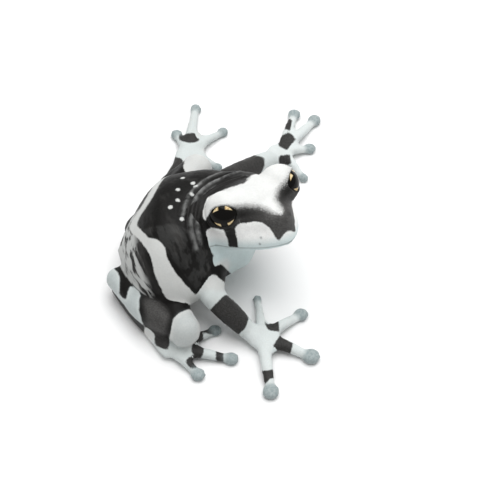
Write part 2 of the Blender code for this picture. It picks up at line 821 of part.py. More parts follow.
def build_leg(side):
    """Thigh, shank, tarsus and foot of one side."""
    pose = LEGS[side]
    nodes = [build_part("thigh_" + side, thigh_pieces(side), trunk_pieces(GAP), pose["hip"], "skin_dark")]
    cutters = trunk_pieces(GAP) + thigh_pieces(side, GAP)
    nodes.append(build_part("shank_" + side, shank_pieces(side), cutters, pose["knee"], "skin_dark"))
    cutters = trunk_pieces(GAP) + thigh_pieces(side, GAP) + shank_pieces(side, GAP)
    nodes.append(build_part("tarsus_" + side, tarsus_pieces(side), cutters, pose["heel"], "skin_dark"))
    cutters = trunk_pieces(GAP) + thigh_pieces(side, GAP)
    cutters += shank_pieces(side, GAP) + tarsus_pieces(side, GAP)
    nodes.append(build_part("foot_" + side, foot_pieces(side), cutters, pose["ankle"], "skin_pale"))
    return nodes


def centre_on_floor(nodes):
    """Move all nodes so that the box round them stands centred on the origin."""
    bpy.context.view_layer.update()
    corners = [node.matrix_world @ vertex.co for node in nodes for vertex in node.data.vertices]
    low = [min(corner[axis] for corner in corners) for axis in range(3)]
    high = [max(corner[axis] for corner in corners) for axis in range(3)]
    shift = Vector(((low[0] + high[0]) / 2, (low[1] + high[1]) / 2, low[2]))
    for node in nodes:
        node.location -= shift


def main():
    """Build every node."""
    clear_scene()
    nodes = [build_head(), build_jaw(), build_eye("right", -1.0), build_eye("left", 1.0), build_torso()]
    for side in ("right", "left"):
        nodes += build_arm(side)
        nodes += build_leg(side)
    centre_on_floor(nodes)


main()
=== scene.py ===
# %% [markdown]
# # A young amazon milk frog, life size
#
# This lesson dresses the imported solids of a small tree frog. The real animal has one unbroken
# skin, two bulging eyes and bold black and white bands, so the scene makes one skin over all
# the flesh, two eyes that sit in it, and a studio round them.
#
# The shapes are worked out in millimetres, in the same design frame that the solids were drawn
# in, and go to metres only at the end. A frog of 40 mm is easier to think about in millimetres.

# %% Load the frame
import math

import bmesh
import bpy
import numpy as np
from mathutils import Matrix, Vector


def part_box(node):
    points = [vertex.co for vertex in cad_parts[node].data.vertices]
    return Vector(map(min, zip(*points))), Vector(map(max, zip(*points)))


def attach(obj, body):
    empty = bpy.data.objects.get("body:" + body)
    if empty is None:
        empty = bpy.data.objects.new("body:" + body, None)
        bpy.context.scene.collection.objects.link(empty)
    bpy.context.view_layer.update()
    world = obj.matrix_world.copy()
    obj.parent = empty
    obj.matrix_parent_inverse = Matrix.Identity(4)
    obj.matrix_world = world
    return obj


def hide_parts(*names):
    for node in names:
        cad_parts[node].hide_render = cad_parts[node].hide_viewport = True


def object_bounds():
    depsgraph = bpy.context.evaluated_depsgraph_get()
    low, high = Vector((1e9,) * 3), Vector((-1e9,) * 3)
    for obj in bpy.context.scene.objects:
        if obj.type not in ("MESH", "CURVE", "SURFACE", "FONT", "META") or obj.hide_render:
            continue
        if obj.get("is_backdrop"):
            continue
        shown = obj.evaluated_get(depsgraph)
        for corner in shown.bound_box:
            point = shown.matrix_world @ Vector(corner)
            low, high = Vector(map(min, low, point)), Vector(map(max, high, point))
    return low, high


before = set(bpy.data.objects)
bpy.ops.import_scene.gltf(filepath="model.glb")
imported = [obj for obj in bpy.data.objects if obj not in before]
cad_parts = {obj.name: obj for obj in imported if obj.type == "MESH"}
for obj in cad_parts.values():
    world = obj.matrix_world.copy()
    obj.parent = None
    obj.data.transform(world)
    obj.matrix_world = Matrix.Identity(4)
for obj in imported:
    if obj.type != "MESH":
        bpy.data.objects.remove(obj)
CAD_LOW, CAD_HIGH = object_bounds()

MM = 0.001
print("solids:", ", ".join(sorted(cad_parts)))

# %% [markdown]
# ## The head's own axes
#
# The head is lifted and turned to the frog's right, so its features are easier to give in axes
# of its own: s runs back from the front of the lip, l to the frog's left and u up from the line
# of the mouth. Both sides of the face then share their numbers, with l changing its sign.

# %% Head axes
HEAD_TURN = math.radians(46.2)
HEAD_LIFT = math.radians(27.0)
HEAD_ROLL = math.radians(6.8)
LIP_FRONT = np.array((-9.4, -19.7, 19.0))
HEAD_WIDTH = 18.6
HEAD_LENGTH = 16.5
SNOUT_BLUNTNESS = 1.35
JAW_DEPTH = 5.0
NAPE_RISE = 3.0


def unit(vector):
    """The same direction with length one."""
    vector = np.asarray(vector, float)
    return vector / np.linalg.norm(vector)


def head_axes():
    """Back, left and up of the head as rows."""
    level = math.cos(HEAD_LIFT)
    forward = np.array((-math.sin(HEAD_TURN) * level, -math.cos(HEAD_TURN) * level, math.sin(HEAD_LIFT)))
    left = np.array((math.cos(HEAD_TURN), -math.sin(HEAD_TURN), 0.0))
    up = unit(np.cross(-forward, left))
    up = up if up[2] > 0.0 else -up
    rolled_left = left * math.cos(HEAD_ROLL) - up * math.sin(HEAD_ROLL)
    rolled_up = up * math.cos(HEAD_ROLL) + left * math.sin(HEAD_ROLL)
    return np.array((-forward, rolled_left, rolled_up))


HEAD = head_axes()


def head_point(s, l, u):
    """Design place of a point given in the head's axes."""
    return LIP_FRONT + HEAD[0] * s + HEAD[1] * l + HEAD[2] * u


def in_head(points):
    """Head coordinates s, l, u of design points."""
    return (points - LIP_FRONT) @ HEAD.T


print("the snout points along", np.round(-HEAD[0], 2))

# %% [markdown]
# ## Named sizes of the pose
#
# These are the sizes that the solids were drawn from. The trunk and neck are stacks of oval
# sections, and each limb is a chain of joints. The skin has to lie where the solids lie, so
# it starts from the same numbers.

# %% Eyes, crown, nostrils and ears
EYE_RADIUS = 3.1
EYE_PLACE = (8.7, 6.6, 6.4)
EYE_FORWARD = math.radians(42.0)
EYE_UP = math.radians(10.0)
ORBIT_RADIUS = 3.75
ORBIT_INSET = 0.6
CROWN_PLACE = (9.6, 0.0, 6.9)
CROWN_SIZES = (4.6, 7.2, 2.1)
NOSTRIL_PLACE = (0.75, 2.2, 4.35)
EAR_PLACE = (13.4, 8.5, 3.6)
EAR_RADIUS = 1.7


def eye_middle(sign):
    """Centre of the eyeball on one side, -1 for right and 1 for left."""
    s, l, u = EYE_PLACE
    return head_point(s, sign * l, u)


def eye_axes(sign):
    """Rows: the way the eye looks, along its long corner line, and up across it."""
    level = -HEAD[0] * math.sin(EYE_FORWARD) + HEAD[1] * (sign * math.cos(EYE_FORWARD))
    look = unit(level * math.cos(EYE_UP) + HEAD[2] * math.sin(EYE_UP))
    along = unit(np.cross(HEAD[2], look))
    return np.array((look, along, np.cross(look, along)))


# %% Trunk, neck and limbs
TRUNK = (
    (-3.3, 11.7, 6.8, 1.0, 0.9, 0.9, 0.0),
    (-3.2, 10.6, 6.9, 4.0, 3.4, 3.1, 0.0),
    (-3.0, 8.9, 7.1, 7.4, 6.2, 5.0, 0.0),
    (-2.5, 6.4, 7.7, 10.6, 9.0, 6.7, 0.2),
    (-2.3, 3.8, 8.1, 12.4, 10.4, 7.5, 0.4),
    (-2.3, 0.0, 8.4, 13.2, 10.5, 7.9, 1.2),
    (-1.7, -3.4, 8.2, 12.0, 10.5, 7.4, 3.0),
    (0.0, -6.4, 8.0, 9.4, 9.8, 6.6, 3.6),
    (1.0, -9.6, 7.6, 7.4, 8.2, 5.4, 3.0),
    (0.6, -12.0, 7.0, 5.0, 5.2, 3.8, 1.5),
    (0.4, -13.4, 6.8, 1.6, 1.8, 1.4, 0.5),
)
NECK = (
    (0.0, -1.5, 11.0, 8.5, 7.6, 5.0, 0.25),
    (0.6, -4.6, 12.0, 9.4, 7.4, 5.6, 0.5),
    (1.4, -7.4, 12.8, 9.4, 6.9, 5.8, 0.8),
    (1.6, -9.5, 13.2, 8.8, 6.6, 6.0, 1.0),
    (0.4, -10.7, 14.0, 7.4, 5.2, 4.8, 1.0),
)
ARMS = {
    "right": {
        "shoulder": (-5.6, -6.2, 8.6), "elbow": (-13.7, -6.0, 7.8),
        "wrist": (-17.2, -12.8, 2.3), "palm": (-18.0, -15.4, 1.3),
        "tips": ((-8.6, -14.0, 0.55), (-11.8, -22.1, 0.85), (-21.2, -24.3, 1.0), (-29.3, -17.4, 0.97)),
    },
    "left": {
        "shoulder": (7.6, -7.6, 8.4), "elbow": (15.0, -6.9, 6.6),
        "wrist": (24.6, -15.0, 2.3), "palm": (27.0, -17.0, 1.3),
        "tips": ((21.4, -21.3, 0.6), (28.9, -22.2, 0.78), (36.3, -22.9, 0.84), (37.6, -18.9, 0.8)),
    },
}
LEGS = {
    "right": {
        "hip": (-6.0, 7.4, 6.2), "thigh": (-10.6, 3.4, 5.8), "knee": (-19.6, -1.3, 4.9),
        "calf": ((-15.6, 4.7, 4.6), (-11.4, 8.6, 4.4)), "heel": (-8.0, 11.6, 4.2),
        "tarsus": ((-12.6, 8.7, 1.5), (-16.2, 5.8, 1.5)), "ankle": (-19.1, 3.5, 1.4),
        "sole": (-21.3, 0.7, 1.2),
        "tips": ((-16.0, 2.5, 0.6), (-16.6, -1.9, 0.65), (-16.2, -6.6, 0.76), (-22.4, -9.9, 0.84),
                 (-26.2, -4.2, 0.84)),
    },
    "left": {
        "hip": (2.0, 8.0, 6.4), "thigh": (9.4, 4.0, 6.2), "knee": (18.4, -1.0, 5.2),
        "calf": ((15.6, 2.4, 4.4), (12.4, 5.0, 4.1)), "heel": (8.6, 7.0, 3.5),
        "tarsus": ((13.4, 5.6, 1.5), (18.0, 4.2, 1.5)), "ankle": (22.2, 2.6, 1.4),
        "sole": (26.2, 1.2, 1.2),
        "tips": ((21.8, -1.4, 0.6), (23.3, -4.6, 0.62), (32.4, -5.1, 0.68), (38.2, 0.6, 0.7),
                 (31.2, 3.8, 0.72)),
    },
}
ELBOW_RADIUS = 2.15
WRIST_RADIUS = 1.7
HIP_RADIUS = 3.2
THIGH_RADIUS = 2.5
KNEE_RADIUS = 3.0
CALF_RADIUS = 2.65
HEEL_RADIUS = 2.2
TARSUS_RADIUS = 1.4
PALM_SPREAD = 1.6
PALM_THICK = 0.66
DIGIT_RADII = (1.42, 1.16, 0.92)
DIGIT_LEAST = 0.4
PAD_SIZES = (1.7, 1.6, 0.95)
PAD_SINK = 0.15
FINGER_WEB = 0.42
TOE_WEB = 0.55
WEB_THICK = 0.7
print(len(TRUNK), "trunk sections and", len(NECK), "neck sections")

# %% [markdown]
# ## From the design frame to the model's frame
#
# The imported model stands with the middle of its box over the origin. One eyeball is enough to
# find how far that moved everything, because its centre is known in both frames.

# %% The shift between the frames
low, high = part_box("eye_right")
SHIFT = eye_middle(-1.0) - np.array((low + high) / 2) / MM
print("design frame minus model frame, in mm:", np.round(SHIFT, 3))


def to_model(points):
    """Metres in the model's frame, from millimetres in the design frame."""
    return (np.asarray(points) - SHIFT) * MM


# %% [markdown]
# ## Lofted forms
#
# Flesh under the skin is a set of simple closed forms: rings of points joined to tubes, and
# balls. They overlap freely, because a voxel remesh later melts them into one surface. This is
# how a sculptor starts too, with rough lumps pressed together before any detail is cut.

# %% Helpers for the rough forms
LUMPS = []


def add_lump(points, faces):
    """Keep one closed form for the remesh."""
    LUMPS.append((np.asarray(points, float), faces))


def join_rings(rings, first_tip, last_tip):
    """A closed form from rings of points with a tip at each end."""
    count = len(rings[0])
    points = [point for ring in rings for point in ring] + [first_tip, last_tip]
    faces = []
    for row in range(len(rings) - 1):
        for index in range(count):
            after = (index + 1) % count
            here = row * count
            faces.append((here + index, here + after, here + count + after, here + count + index))
    last_row = (len(rings) - 1) * count
    tip = len(rings) * count
    for index in range(count):
        after = (index + 1) % count
        faces.append((after, index, tip))
        faces.append((last_row + index, last_row + after, tip + 1))
    add_lump(points, faces)


def smooth_rows(rows, steps):
    """Rows of numbers on a smooth curve through the given rows."""
    rows = [np.asarray(row, float) for row in rows]
    padded = [rows[0]] + rows + [rows[-1]]
    result = []
    for a, b, c, d in zip(padded, padded[1:], padded[2:], padded[3:]):
        for step in range(steps):
            t = step / steps
            bend = 2 * a - 5 * b + 4 * c - d
            twist = 3 * b - a - 3 * c + d
            result.append(0.5 * (2 * b + (c - a) * t + bend * t * t + twist * t ** 3))
    result.append(rows[-1])
    return result


def section(middle, side, up, half_width, above, below, count, power=1.0, lean=0.0):
    """An oval ring with its own heights above and below, its top leant sideways."""
    angle = np.linspace(0.0, 2.0 * math.pi, count, endpoint=False)
    across = np.sign(np.cos(angle)) * np.abs(np.cos(angle)) ** power
    rise = np.sign(np.sin(angle)) * np.abs(np.sin(angle)) ** power
    height = np.where(rise >= 0.0, above, below)
    wide = half_width * across + lean * np.maximum(rise, 0.0)
    return middle + np.outer(wide, side) + np.outer(height * rise, up)


def tube(stations, sides=28, steps=8):
    """A round-ended limb through stations of x, y, z, half width and half height."""
    rows = smooth_rows(stations, steps)
    middles = [row[:3] for row in rows]
    rings = []
    for index, row in enumerate(rows):
        before = middles[max(index - 1, 0)]
        after = middles[min(index + 1, len(rows) - 1)]
        direction = unit(after - before)
        side = unit(np.cross((0.0, 0.0, 1.0), direction))
        up = np.cross(direction, side)
        caps = []
        if index in (0, len(rows) - 1):
            outward = -direction if index == 0 else direction
            reach = min(row[3], row[4])
            for turn in (18, 36, 54, 72):
                place = middles[index] + outward * reach * math.sin(math.radians(turn))
                less = math.cos(math.radians(turn))
                caps.append(section(place, side, up, row[3] * less, row[4] * less, row[4] * less, sides))
            if index == 0:
                first_tip = middles[0] + outward * reach
                rings.extend(reversed(caps))
            else:
                last_tip = middles[-1] + outward * reach
        rings.append(section(middles[index], side, up, row[3], row[4], row[4], sides))
        if index == len(rows) - 1:
            rings.extend(caps)
    join_rings(rings, first_tip, last_tip)


def ball(middle, sizes, axes=np.eye(3), detail=4):
    """A closed ellipsoid with half sizes along the rows of its axes."""
    shape = bmesh.new()
    bmesh.ops.create_icosphere(shape, subdivisions=detail, radius=1.0)
    points = np.array([vertex.co for vertex in shape.verts]) * np.asarray(sizes)
    faces = [[vertex.index for vertex in face.verts] for face in shape.faces]
    shape.free()
    add_lump(np.asarray(middle) + points @ np.asarray(axes), faces)


print("helpers ready")

# %% [markdown]
# ## Skull and jaw
#
# A tree frog's head is wide and flat with a blunt snout. Its outline seen from above is the
# line of the mouth, which widens quickly behind the lip. The upper head is a stack of arches on
# that line and the jaw a shallower stack under it. The orbits are balls that stand out of them.

# %% Build the head
HEAD_STATIONS = (0.06, 0.3, 0.8, 1.6, 2.8, 4.2, 5.8, 7.4, 9.0, 10.6, 12.2, 13.8, 15.2, 16.2)
ARCH_POWER = 0.86
JAW_POWER = 0.8
JAW_DROP_POWER = 0.9
TOP_LINE = ((0.0, 0.3, 1.0, 3.0, 6.0, 9.0, 12.5, 16.5), (3.6, 4.7, 5.5, 6.3, 7.2, 7.8, 8.2, 8.5))
JAW_LINE = ((0.0, 0.4, 2.0, 6.0, 10.0, 16.5), (0.5, 0.8, 1.3, 2.0, 3.0, JAW_DEPTH))
LIP_TUCK = 0.35
JAW_SHIFT = 0.25


def mouth_half_width(s):
    """Half width of the mouth line at a distance behind the lip."""
    run = np.clip(1.0 - s / HEAD_LENGTH, 0.0, 1.0)
    return HEAD_WIDTH / 2 * np.sqrt(1.0 - run ** SNOUT_BLUNTNESS)


def skull_ring(s, width, top):
    """An arch above the mouth line, closed along it."""
    angle = np.linspace(0.0, math.pi, 49)
    across = np.sign(np.cos(angle)) * np.abs(np.cos(angle)) ** ARCH_POWER
    rise = np.abs(np.sin(angle)) ** ARCH_POWER
    tuck = min(LIP_TUCK, width * 0.3)
    arch = [head_point(s, width * a, tuck + (top - tuck) * r) for a, r in zip(across, rise)]
    base = [head_point(s, -(width - tuck) * (1.0 - i / 5.0), 0.0) for i in range(11)]
    return np.array(arch + base)


def jaw_ring(s, width, bottom):
    """An arch below the mouth line, closed along it."""
    angle = np.linspace(0.0, math.pi, 49)
    across = np.sign(np.cos(angle)) * np.abs(np.cos(angle)) ** JAW_POWER
    drop = np.abs(np.sin(angle)) ** JAW_DROP_POWER
    edge = max(width - LIP_TUCK, 0.12)
    arch = [head_point(s, edge * a, -0.1 - (bottom - 0.1) * d) for a, d in zip(across, drop)]
    base = [head_point(s, -edge * (1.0 - i / 5.0), 0.3) for i in range(11)]
    return np.array(arch + base)


def build_head():
    """Skull, crown, orbits and jaw."""
    last = HEAD_STATIONS[-1]
    rings = [skull_ring(s, mouth_half_width(s), float(np.interp(s, *TOP_LINE))) for s in HEAD_STATIONS]
    for step, less in ((0.9, 0.86), (1.5, 0.6)):
        height = float(np.interp(last, *TOP_LINE)) * less
        ring = skull_ring(last + step, mouth_half_width(last) * less, height)
        rings.append(ring + HEAD[2] * (1.0 - less) * NAPE_RISE)
    join_rings(rings, head_point(-0.12, 0.0, 1.6), head_point(last + 1.8, 0.0, 3.8))
    rings = [jaw_ring(s + JAW_SHIFT, mouth_half_width(s), float(np.interp(s, *JAW_LINE)))
             for s in HEAD_STATIONS]
    join_rings(rings, head_point(0.18, 0.0, -0.4), head_point(last + 1.3, 0.0, -2.0))
    ball(head_point(*CROWN_PLACE), CROWN_SIZES, HEAD)
    for sign in (-1.0, 1.0):
        ball(eye_middle(sign) - eye_axes(sign)[0] * ORBIT_INSET, (ORBIT_RADIUS,) * 3)


build_head()
print(len(LUMPS), "forms in the head")

# %% [markdown]
# ## Trunk, neck and limbs
#
# The trunk is short and round. Its sections lean, because the raised shoulders are drawn
# towards the turned head. The neck turns its sections from the trunk's axes to the head's.

# %% Build the trunk and neck
BODY_SQUARENESS = 0.9


def build_trunk():
    """Trunk and neck lofts."""
    rings = [section(row[:3], np.array((1.0, 0, 0)), np.array((0, 0, 1.0)), *row[3:6], 72,
                     BODY_SQUARENESS, row[6]) for row in smooth_rows(TRUNK, 6)]
    join_rings(rings, np.array(TRUNK[0][:3]) + (0, 0.3, 0), np.array(TRUNK[-1][:3]) - (0, 0.3, 0))
    rings = []
    for row in smooth_rows(NECK, 6):
        side = unit(np.array((1.0, 0.0, 0.0)) * (1.0 - row[6]) + HEAD[1] * row[6])
        up = unit(np.array((0.0, 0.0, 1.0)) * (1.0 - row[6]) + HEAD[2] * row[6])
        rings.append(section(row[:3], side, up, *row[3:6], 72, BODY_SQUARENESS))
    join_rings(rings, np.array(NECK[0][:3]) + (0, 2.0, 0), np.array(NECK[-1][:3]) - HEAD[0] * 1.5)


build_trunk()

# %% [markdown]
# Each limb also leaves a chain of places behind. The chains tell later which part of the frog a
# point of the skin belongs to, so that a band on the shank never spills over onto the belly.

# %% Build the limbs
CHAINS = {}


def limb(name, stations):
    """A limb's tube, with its line kept by name."""
    tube(stations)
    CHAINS.setdefault(name, []).append(np.array(smooth_rows(stations, 4)))


def between(start, end, share):
    """A place on the line from start to end."""
    return np.asarray(start, float) * (1.0 - share) + np.asarray(end, float) * share


def web(first, second, reach):
    """A thin slab of skin between two digits, scooped at its edge."""
    steps = 10
    rows = []
    for level in (WEB_THICK / 2, -WEB_THICK / 2):
        for i in range(steps + 1):
            for j in range(steps + 1):
                v = j / steps
                u = reach * i / steps * (1.0 - 1.2 * v * (1.0 - v))
                rows.append(between(along(first, u), along(second, u), v) + (0.0, 0.0, level))
    size = steps + 1
    faces = []
    for i in range(steps):
        for j in range(steps):
            a = i * size + j
            faces.append((a, a + 1, a + size + 1, a + size))
            b = a + size * size
            faces.append((b, b + size, b + size + 1, b + 1))
    border = [j for j in range(size)] + [i * size + steps for i in range(1, steps)]
    border += [steps * size + j for j in reversed(range(size))]
    border += [i * size for i in reversed(range(1, steps))]
    for one, two in zip(border, border[1:] + border[:1]):
        faces.append((two, one, one + size * size, two + size * size))
    add_lump(rows, faces)


def along(points, share):
    """The point at a share of a list of points."""
    place = share * (len(points) - 1)
    index = min(int(place), len(points) - 2)
    return between(points[index], points[index + 1], place - index)


PADS = []


def paddle(name, wrist, palm, tips, radius, reach):
    """Palm or sole with its digits, pads and webs."""
    wrist, palm = np.array(wrist), np.array(palm)
    limb(name, (
        (*wrist, radius, radius * 0.9),
        (*between(wrist, palm, 0.6), radius * PALM_SPREAD * 0.9, radius * 0.8),
        (*palm, radius * PALM_SPREAD, radius * PALM_THICK),
    ))
    lines = []
    for x, y, size in tips:
        share = DIGIT_LEAST + (1.0 - DIGIT_LEAST) * size
        pad = np.array((PAD_SIZES[0] * size, PAD_SIZES[1] * size, PAD_SIZES[2] * share))
        end = np.array((x, y, pad[2] - PAD_SINK))
        base = palm + unit((x - palm[0], y - palm[1], 0.0)) * radius * 0.5
        heading = unit(end - base)
        root, waist, narrow = (thick * share for thick in DIGIT_RADII)
        neck = end - heading * pad[0] * 0.9
        middle = between(base, neck, 0.5) + (0.0, 0.0, 0.35)
        lines.append(smooth_rows((base, middle, neck, end), 5))
        limb(name, (
            (*base, root, root * 0.8),
            (*middle, waist, waist * 0.85),
            (*neck, narrow, narrow * 0.82),
            (*between(neck, end, 0.55), narrow * 0.8, narrow * 0.6),
        ))
        side = unit((-heading[1], heading[0], 0.0))
        axes = np.array((np.cross(side, (0.0, 0.0, 1.0)), side, (0.0, 0.0, 1.0)))
        ball(end, pad, axes, 3)
        CHAINS[name].append(np.array([(*end, pad[1], 0.8), (*end, pad[1], 0.8)]))
        PADS.append((end, heading, pad[0]))
    for first, second in zip(lines, lines[1:]):
        web(first, second, reach)


for side in ("right", "left"):
    arm = ARMS[side]
    shoulder, elbow, wrist = (np.array(arm[key]) for key in ("shoulder", "elbow", "wrist"))
    limb("upper_arm_" + side, (
        (*shoulder, ELBOW_RADIUS * 1.15, ELBOW_RADIUS * 1.15),
        (*between(shoulder, elbow, 0.5), ELBOW_RADIUS, ELBOW_RADIUS),
        (*elbow, ELBOW_RADIUS, ELBOW_RADIUS),
    ))
    limb("forearm_" + side, (
        (*elbow, ELBOW_RADIUS, ELBOW_RADIUS),
        (*between(elbow, wrist, 0.4), ELBOW_RADIUS, ELBOW_RADIUS),
        (*between(elbow, wrist, 0.75), ELBOW_RADIUS * 0.9, ELBOW_RADIUS * 0.88),
        (*wrist, WRIST_RADIUS, WRIST_RADIUS * 0.9),
    ))
    paddle("hand_" + side, arm["wrist"], arm["palm"], arm["tips"], WRIST_RADIUS, FINGER_WEB)
    leg = LEGS[side]
    limb("thigh_" + side, (
        (*leg["hip"], HIP_RADIUS, HIP_RADIUS),
        (*leg["thigh"], THIGH_RADIUS, THIGH_RADIUS * 1.1),
        (*leg["knee"], KNEE_RADIUS, KNEE_RADIUS),
    ))
    limb("shank_" + side, (
        (*leg["knee"], KNEE_RADIUS * 0.85, KNEE_RADIUS * 0.85),
        (*leg["calf"][0], CALF_RADIUS, CALF_RADIUS),
        (*leg["calf"][1], CALF_RADIUS * 0.92, CALF_RADIUS * 0.92),
        (*leg["heel"], HEEL_RADIUS, HEEL_RADIUS),
    ))
    limb("tarsus_" + side, (
        (*leg["heel"][:2], TARSUS_RADIUS, TARSUS_RADIUS, TARSUS_RADIUS),
        (*leg["tarsus"][0], TARSUS_RADIUS, TARSUS_RADIUS),
        (*leg["tarsus"][1], TARSUS_RADIUS, TARSUS_RADIUS),
        (*leg["ankle"], TARSUS_RADIUS, TARSUS_RADIUS),
    ))
    paddle("foot_" + side, leg["ankle"], leg["sole"], leg["tips"], TARSUS_RADIUS, TOE_WEB)
print(len(LUMPS), "forms and", len(PADS), "round pads")

# %% [markdown]
# ## One skin by voxel remesh
#
# All the forms go into one mesh, and a Remesh modifier in voxel mode wraps them in a single
# even surface. That is the closest thing in Blender to a real skin, because every lump under it
# disappears. The catch is that voxels leave fine steps, which a few rounds of smoothing remove.

# %% Melt the forms into one surface
VOXEL = 0.425


def evaluated(thing):
    """New mesh of an object with its modifiers applied."""
    graph = bpy.context.evaluated_depsgraph_get()
    return bpy.data.meshes.new_from_object(thing.evaluated_get(graph), depsgraph=graph)


def in_scene(name, data):
    """A new object in the scene for a mesh, a camera or a lamp."""
    thing = bpy.data.objects.new(name, data)
    bpy.context.scene.collection.objects.link(thing)
    return thing


def turn_outward(mesh):
    """Make the faces of a closed mesh point outward."""
    shape = bmesh.new()
    shape.from_mesh(mesh)
    bmesh.ops.recalc_face_normals(shape, faces=shape.faces)
    shape.to_mesh(mesh)
    shape.free()


def keep_values(mesh, values):
    """Write numbers for each point into a mesh as attributes."""
    for name, numbers in values.items():
        attribute = mesh.attributes.new(name, "FLOAT", "POINT")
        attribute.data.foreach_set("value", np.asarray(numbers, np.float32))


def mesh_from_lumps():
    """All the forms in one mesh, in millimetres."""
    points, faces, base = [], [], 0
    for lump, sides in LUMPS:
        points.append(lump)
        faces.extend([[corner + base for corner in side] for side in sides])
        base += len(lump)
    mesh = bpy.data.meshes.new("lumps")
    mesh.from_pydata(np.concatenate(points).tolist(), [], faces)
    turn_outward(mesh)
    return mesh


def one_skin():
    """Remeshed surface round every form."""
    thing = in_scene("lumps", mesh_from_lumps())
    remesh = thing.modifiers.new("one skin", "REMESH")
    remesh.mode = "VOXEL"
    remesh.voxel_size = VOXEL
    mesh = evaluated(thing)
    old = thing.data
    bpy.data.objects.remove(thing)
    bpy.data.meshes.remove(old)
    return mesh


skin_mesh = one_skin()
print(len(skin_mesh.vertices), "points in the first skin")

# %% [markdown]
# ## Smoothing in two ways
#
# Plain smoothing takes out the voxel steps but shrinks a form, so every shrinking step is
# followed by a growing one, which is known as Taubin smoothing. A second kind only lifts points
# that lie in a hollow. It fills the sharp creases where forms meet, as flesh and loose skin do,
# and leaves every round form alone.

# %% Arrays of the surface and two ways to smooth it
class Surface:
    """Points, edges and faces of the skin as arrays, in millimetres."""

    def __init__(self, mesh):
        self.points = np.zeros(len(mesh.vertices) * 3)
        mesh.vertices.foreach_get("co", self.points)
        self.points = self.points.reshape(-1, 3)
        self.edges = np.zeros(len(mesh.edges) * 2, int)
        mesh.edges.foreach_get("vertices", self.edges)
        self.edges = self.edges.reshape(-1, 2)
        mesh.calc_loop_triangles()
        self.triangles = np.zeros(len(mesh.loop_triangles) * 3, int)
        mesh.loop_triangles.foreach_get("vertices", self.triangles)
        self.triangles = self.triangles.reshape(-1, 3)
        self.degree = np.bincount(self.edges.ravel(), minlength=len(self.points))

    def mean(self, values):
        """Mean of a value over the neighbours of each point."""
        values = np.asarray(values, float)
        if values.ndim == 1:
            return self.mean(values[:, None])[:, 0]
        first, second = self.edges[:, 0], self.edges[:, 1]
        total = [np.bincount(first, values[second, axis], len(self.points))
                 + np.bincount(second, values[first, axis], len(self.points))
                 for axis in range(values.shape[1])]
        return np.stack(total, 1) / self.degree[:, None]

    def normals(self):
        """Outward normal at each point."""
        a, b, c = (self.points[self.triangles[:, i]] for i in range(3))
        cross = np.cross(b - a, c - a)
        total = np.zeros_like(self.points)
        for corner in range(3):
            for axis in range(3):
                total[:, axis] += np.bincount(self.triangles[:, corner], cross[:, axis], len(self.points))
        return total / np.maximum(np.linalg.norm(total, axis=1, keepdims=True), 1e-12)

    def even_out(self, rounds, share=1.0):
        """Taubin smoothing, with a share for each point."""
        share = np.asarray(share, float).reshape(-1, 1) if np.ndim(share) else share
        for _ in range(rounds):
            for amount in (0.5, -0.53):
                self.points += (self.mean(self.points) - self.points) * amount * share

    def fill_creases(self, rounds, share):
        """Lift points that lie in a hollow, with a share for each point."""
        for _ in range(rounds):
            normal = self.normals()
            lift = ((self.mean(self.points) - self.points) * normal).sum(1)
            self.points += normal * (np.maximum(lift, 0.0) * share)[:, None]


def ramp(values, start, end):
    """Smooth step from 0 at start to 1 at end."""
    t = np.clip((np.asarray(values, float) - start) / (end - start), 0.0, 1.0)
    return t * t * (3.0 - 2.0 * t)


skin = Surface(skin_mesh)
skin.even_out(6)
print("the skin starts with", len(skin.points), "points and", len(skin.triangles), "triangles")

# %% [markdown]
# ## Which part a point belongs to
#
# Each point of the skin takes the limb whose chain is nearest, counted from the limb's surface.
# What is near no limb is head, jaw, neck or trunk. The same function serves again after the
# head has been given finer faces.

# %% Label the parts
LIMB_NAMES = sorted(CHAINS)
SKULL_END = 16.0
SKULL_MARGIN = 0.8
LIMB_MARGIN = 0.35
MOUTH_LEVEL = -0.35


def path_distance(points, rows):
    """Distance to a path whose rows are x, y, z and, for a round one, its radius there."""
    rows = [np.asarray(row, float) for row in rows]
    best = np.full(len(points), 1e9)
    for start, end in zip(rows, rows[1:]):
        step = end[:3] - start[:3]
        share = np.clip((points - start[:3]) @ step / max(step @ step, 1e-9), 0.0, 1.0)
        away = np.linalg.norm(points - start[:3] - share[:, None] * step, axis=1)
        if len(start) > 3:
            away -= start[3] * (1.0 - share) + end[3] * share
        best = np.minimum(best, away)
    return best


def limb_distances(points):
    """Distance of each point to each limb, in the order of LIMB_NAMES."""
    return np.stack([np.min([path_distance(points, chain) for chain in CHAINS[name]], axis=0)
                     for name in LIMB_NAMES], 1)


def eye_places(points, sign):
    """Coordinates from an eye's centre: out along its look, along its corners and up."""
    return (points - eye_middle(sign)) @ eye_axes(sign).T


def near_eye(points, reach):
    """Mask of the points within reach of an eye's centre."""
    distances = [np.linalg.norm(points - eye_middle(sign), axis=1) for sign in (-1.0, 1.0)]
    return np.min(distances, axis=0) < reach


def label_parts(points):
    """A word for each point: a limb's name, head, jaw or trunk."""
    near = limb_distances(points)
    words = np.array(LIMB_NAMES, dtype=object)[near.argmin(1)]
    s, l, u = in_head(points).T
    width = np.array([mouth_half_width(max(value, 0.0)) for value in s])
    in_skull = (s < SKULL_END) & (np.abs(l) < width + SKULL_MARGIN) & (u > -JAW_DEPTH - 0.6)
    in_skull &= near.min(1) > 0.3
    in_skull |= near_eye(points, EYE_RADIUS + 1.0)
    free = (near.min(1) > LIMB_MARGIN) | in_skull
    words[free] = "trunk"
    words[in_skull & (u > MOUTH_LEVEL)] = "head"
    words[in_skull & (u <= MOUTH_LEVEL)] = "jaw"
    return words


def starts(words, *beginnings):
    """Mask of the points whose word starts with one of the beginnings."""
    return np.array([word.startswith(beginnings) for word in words])


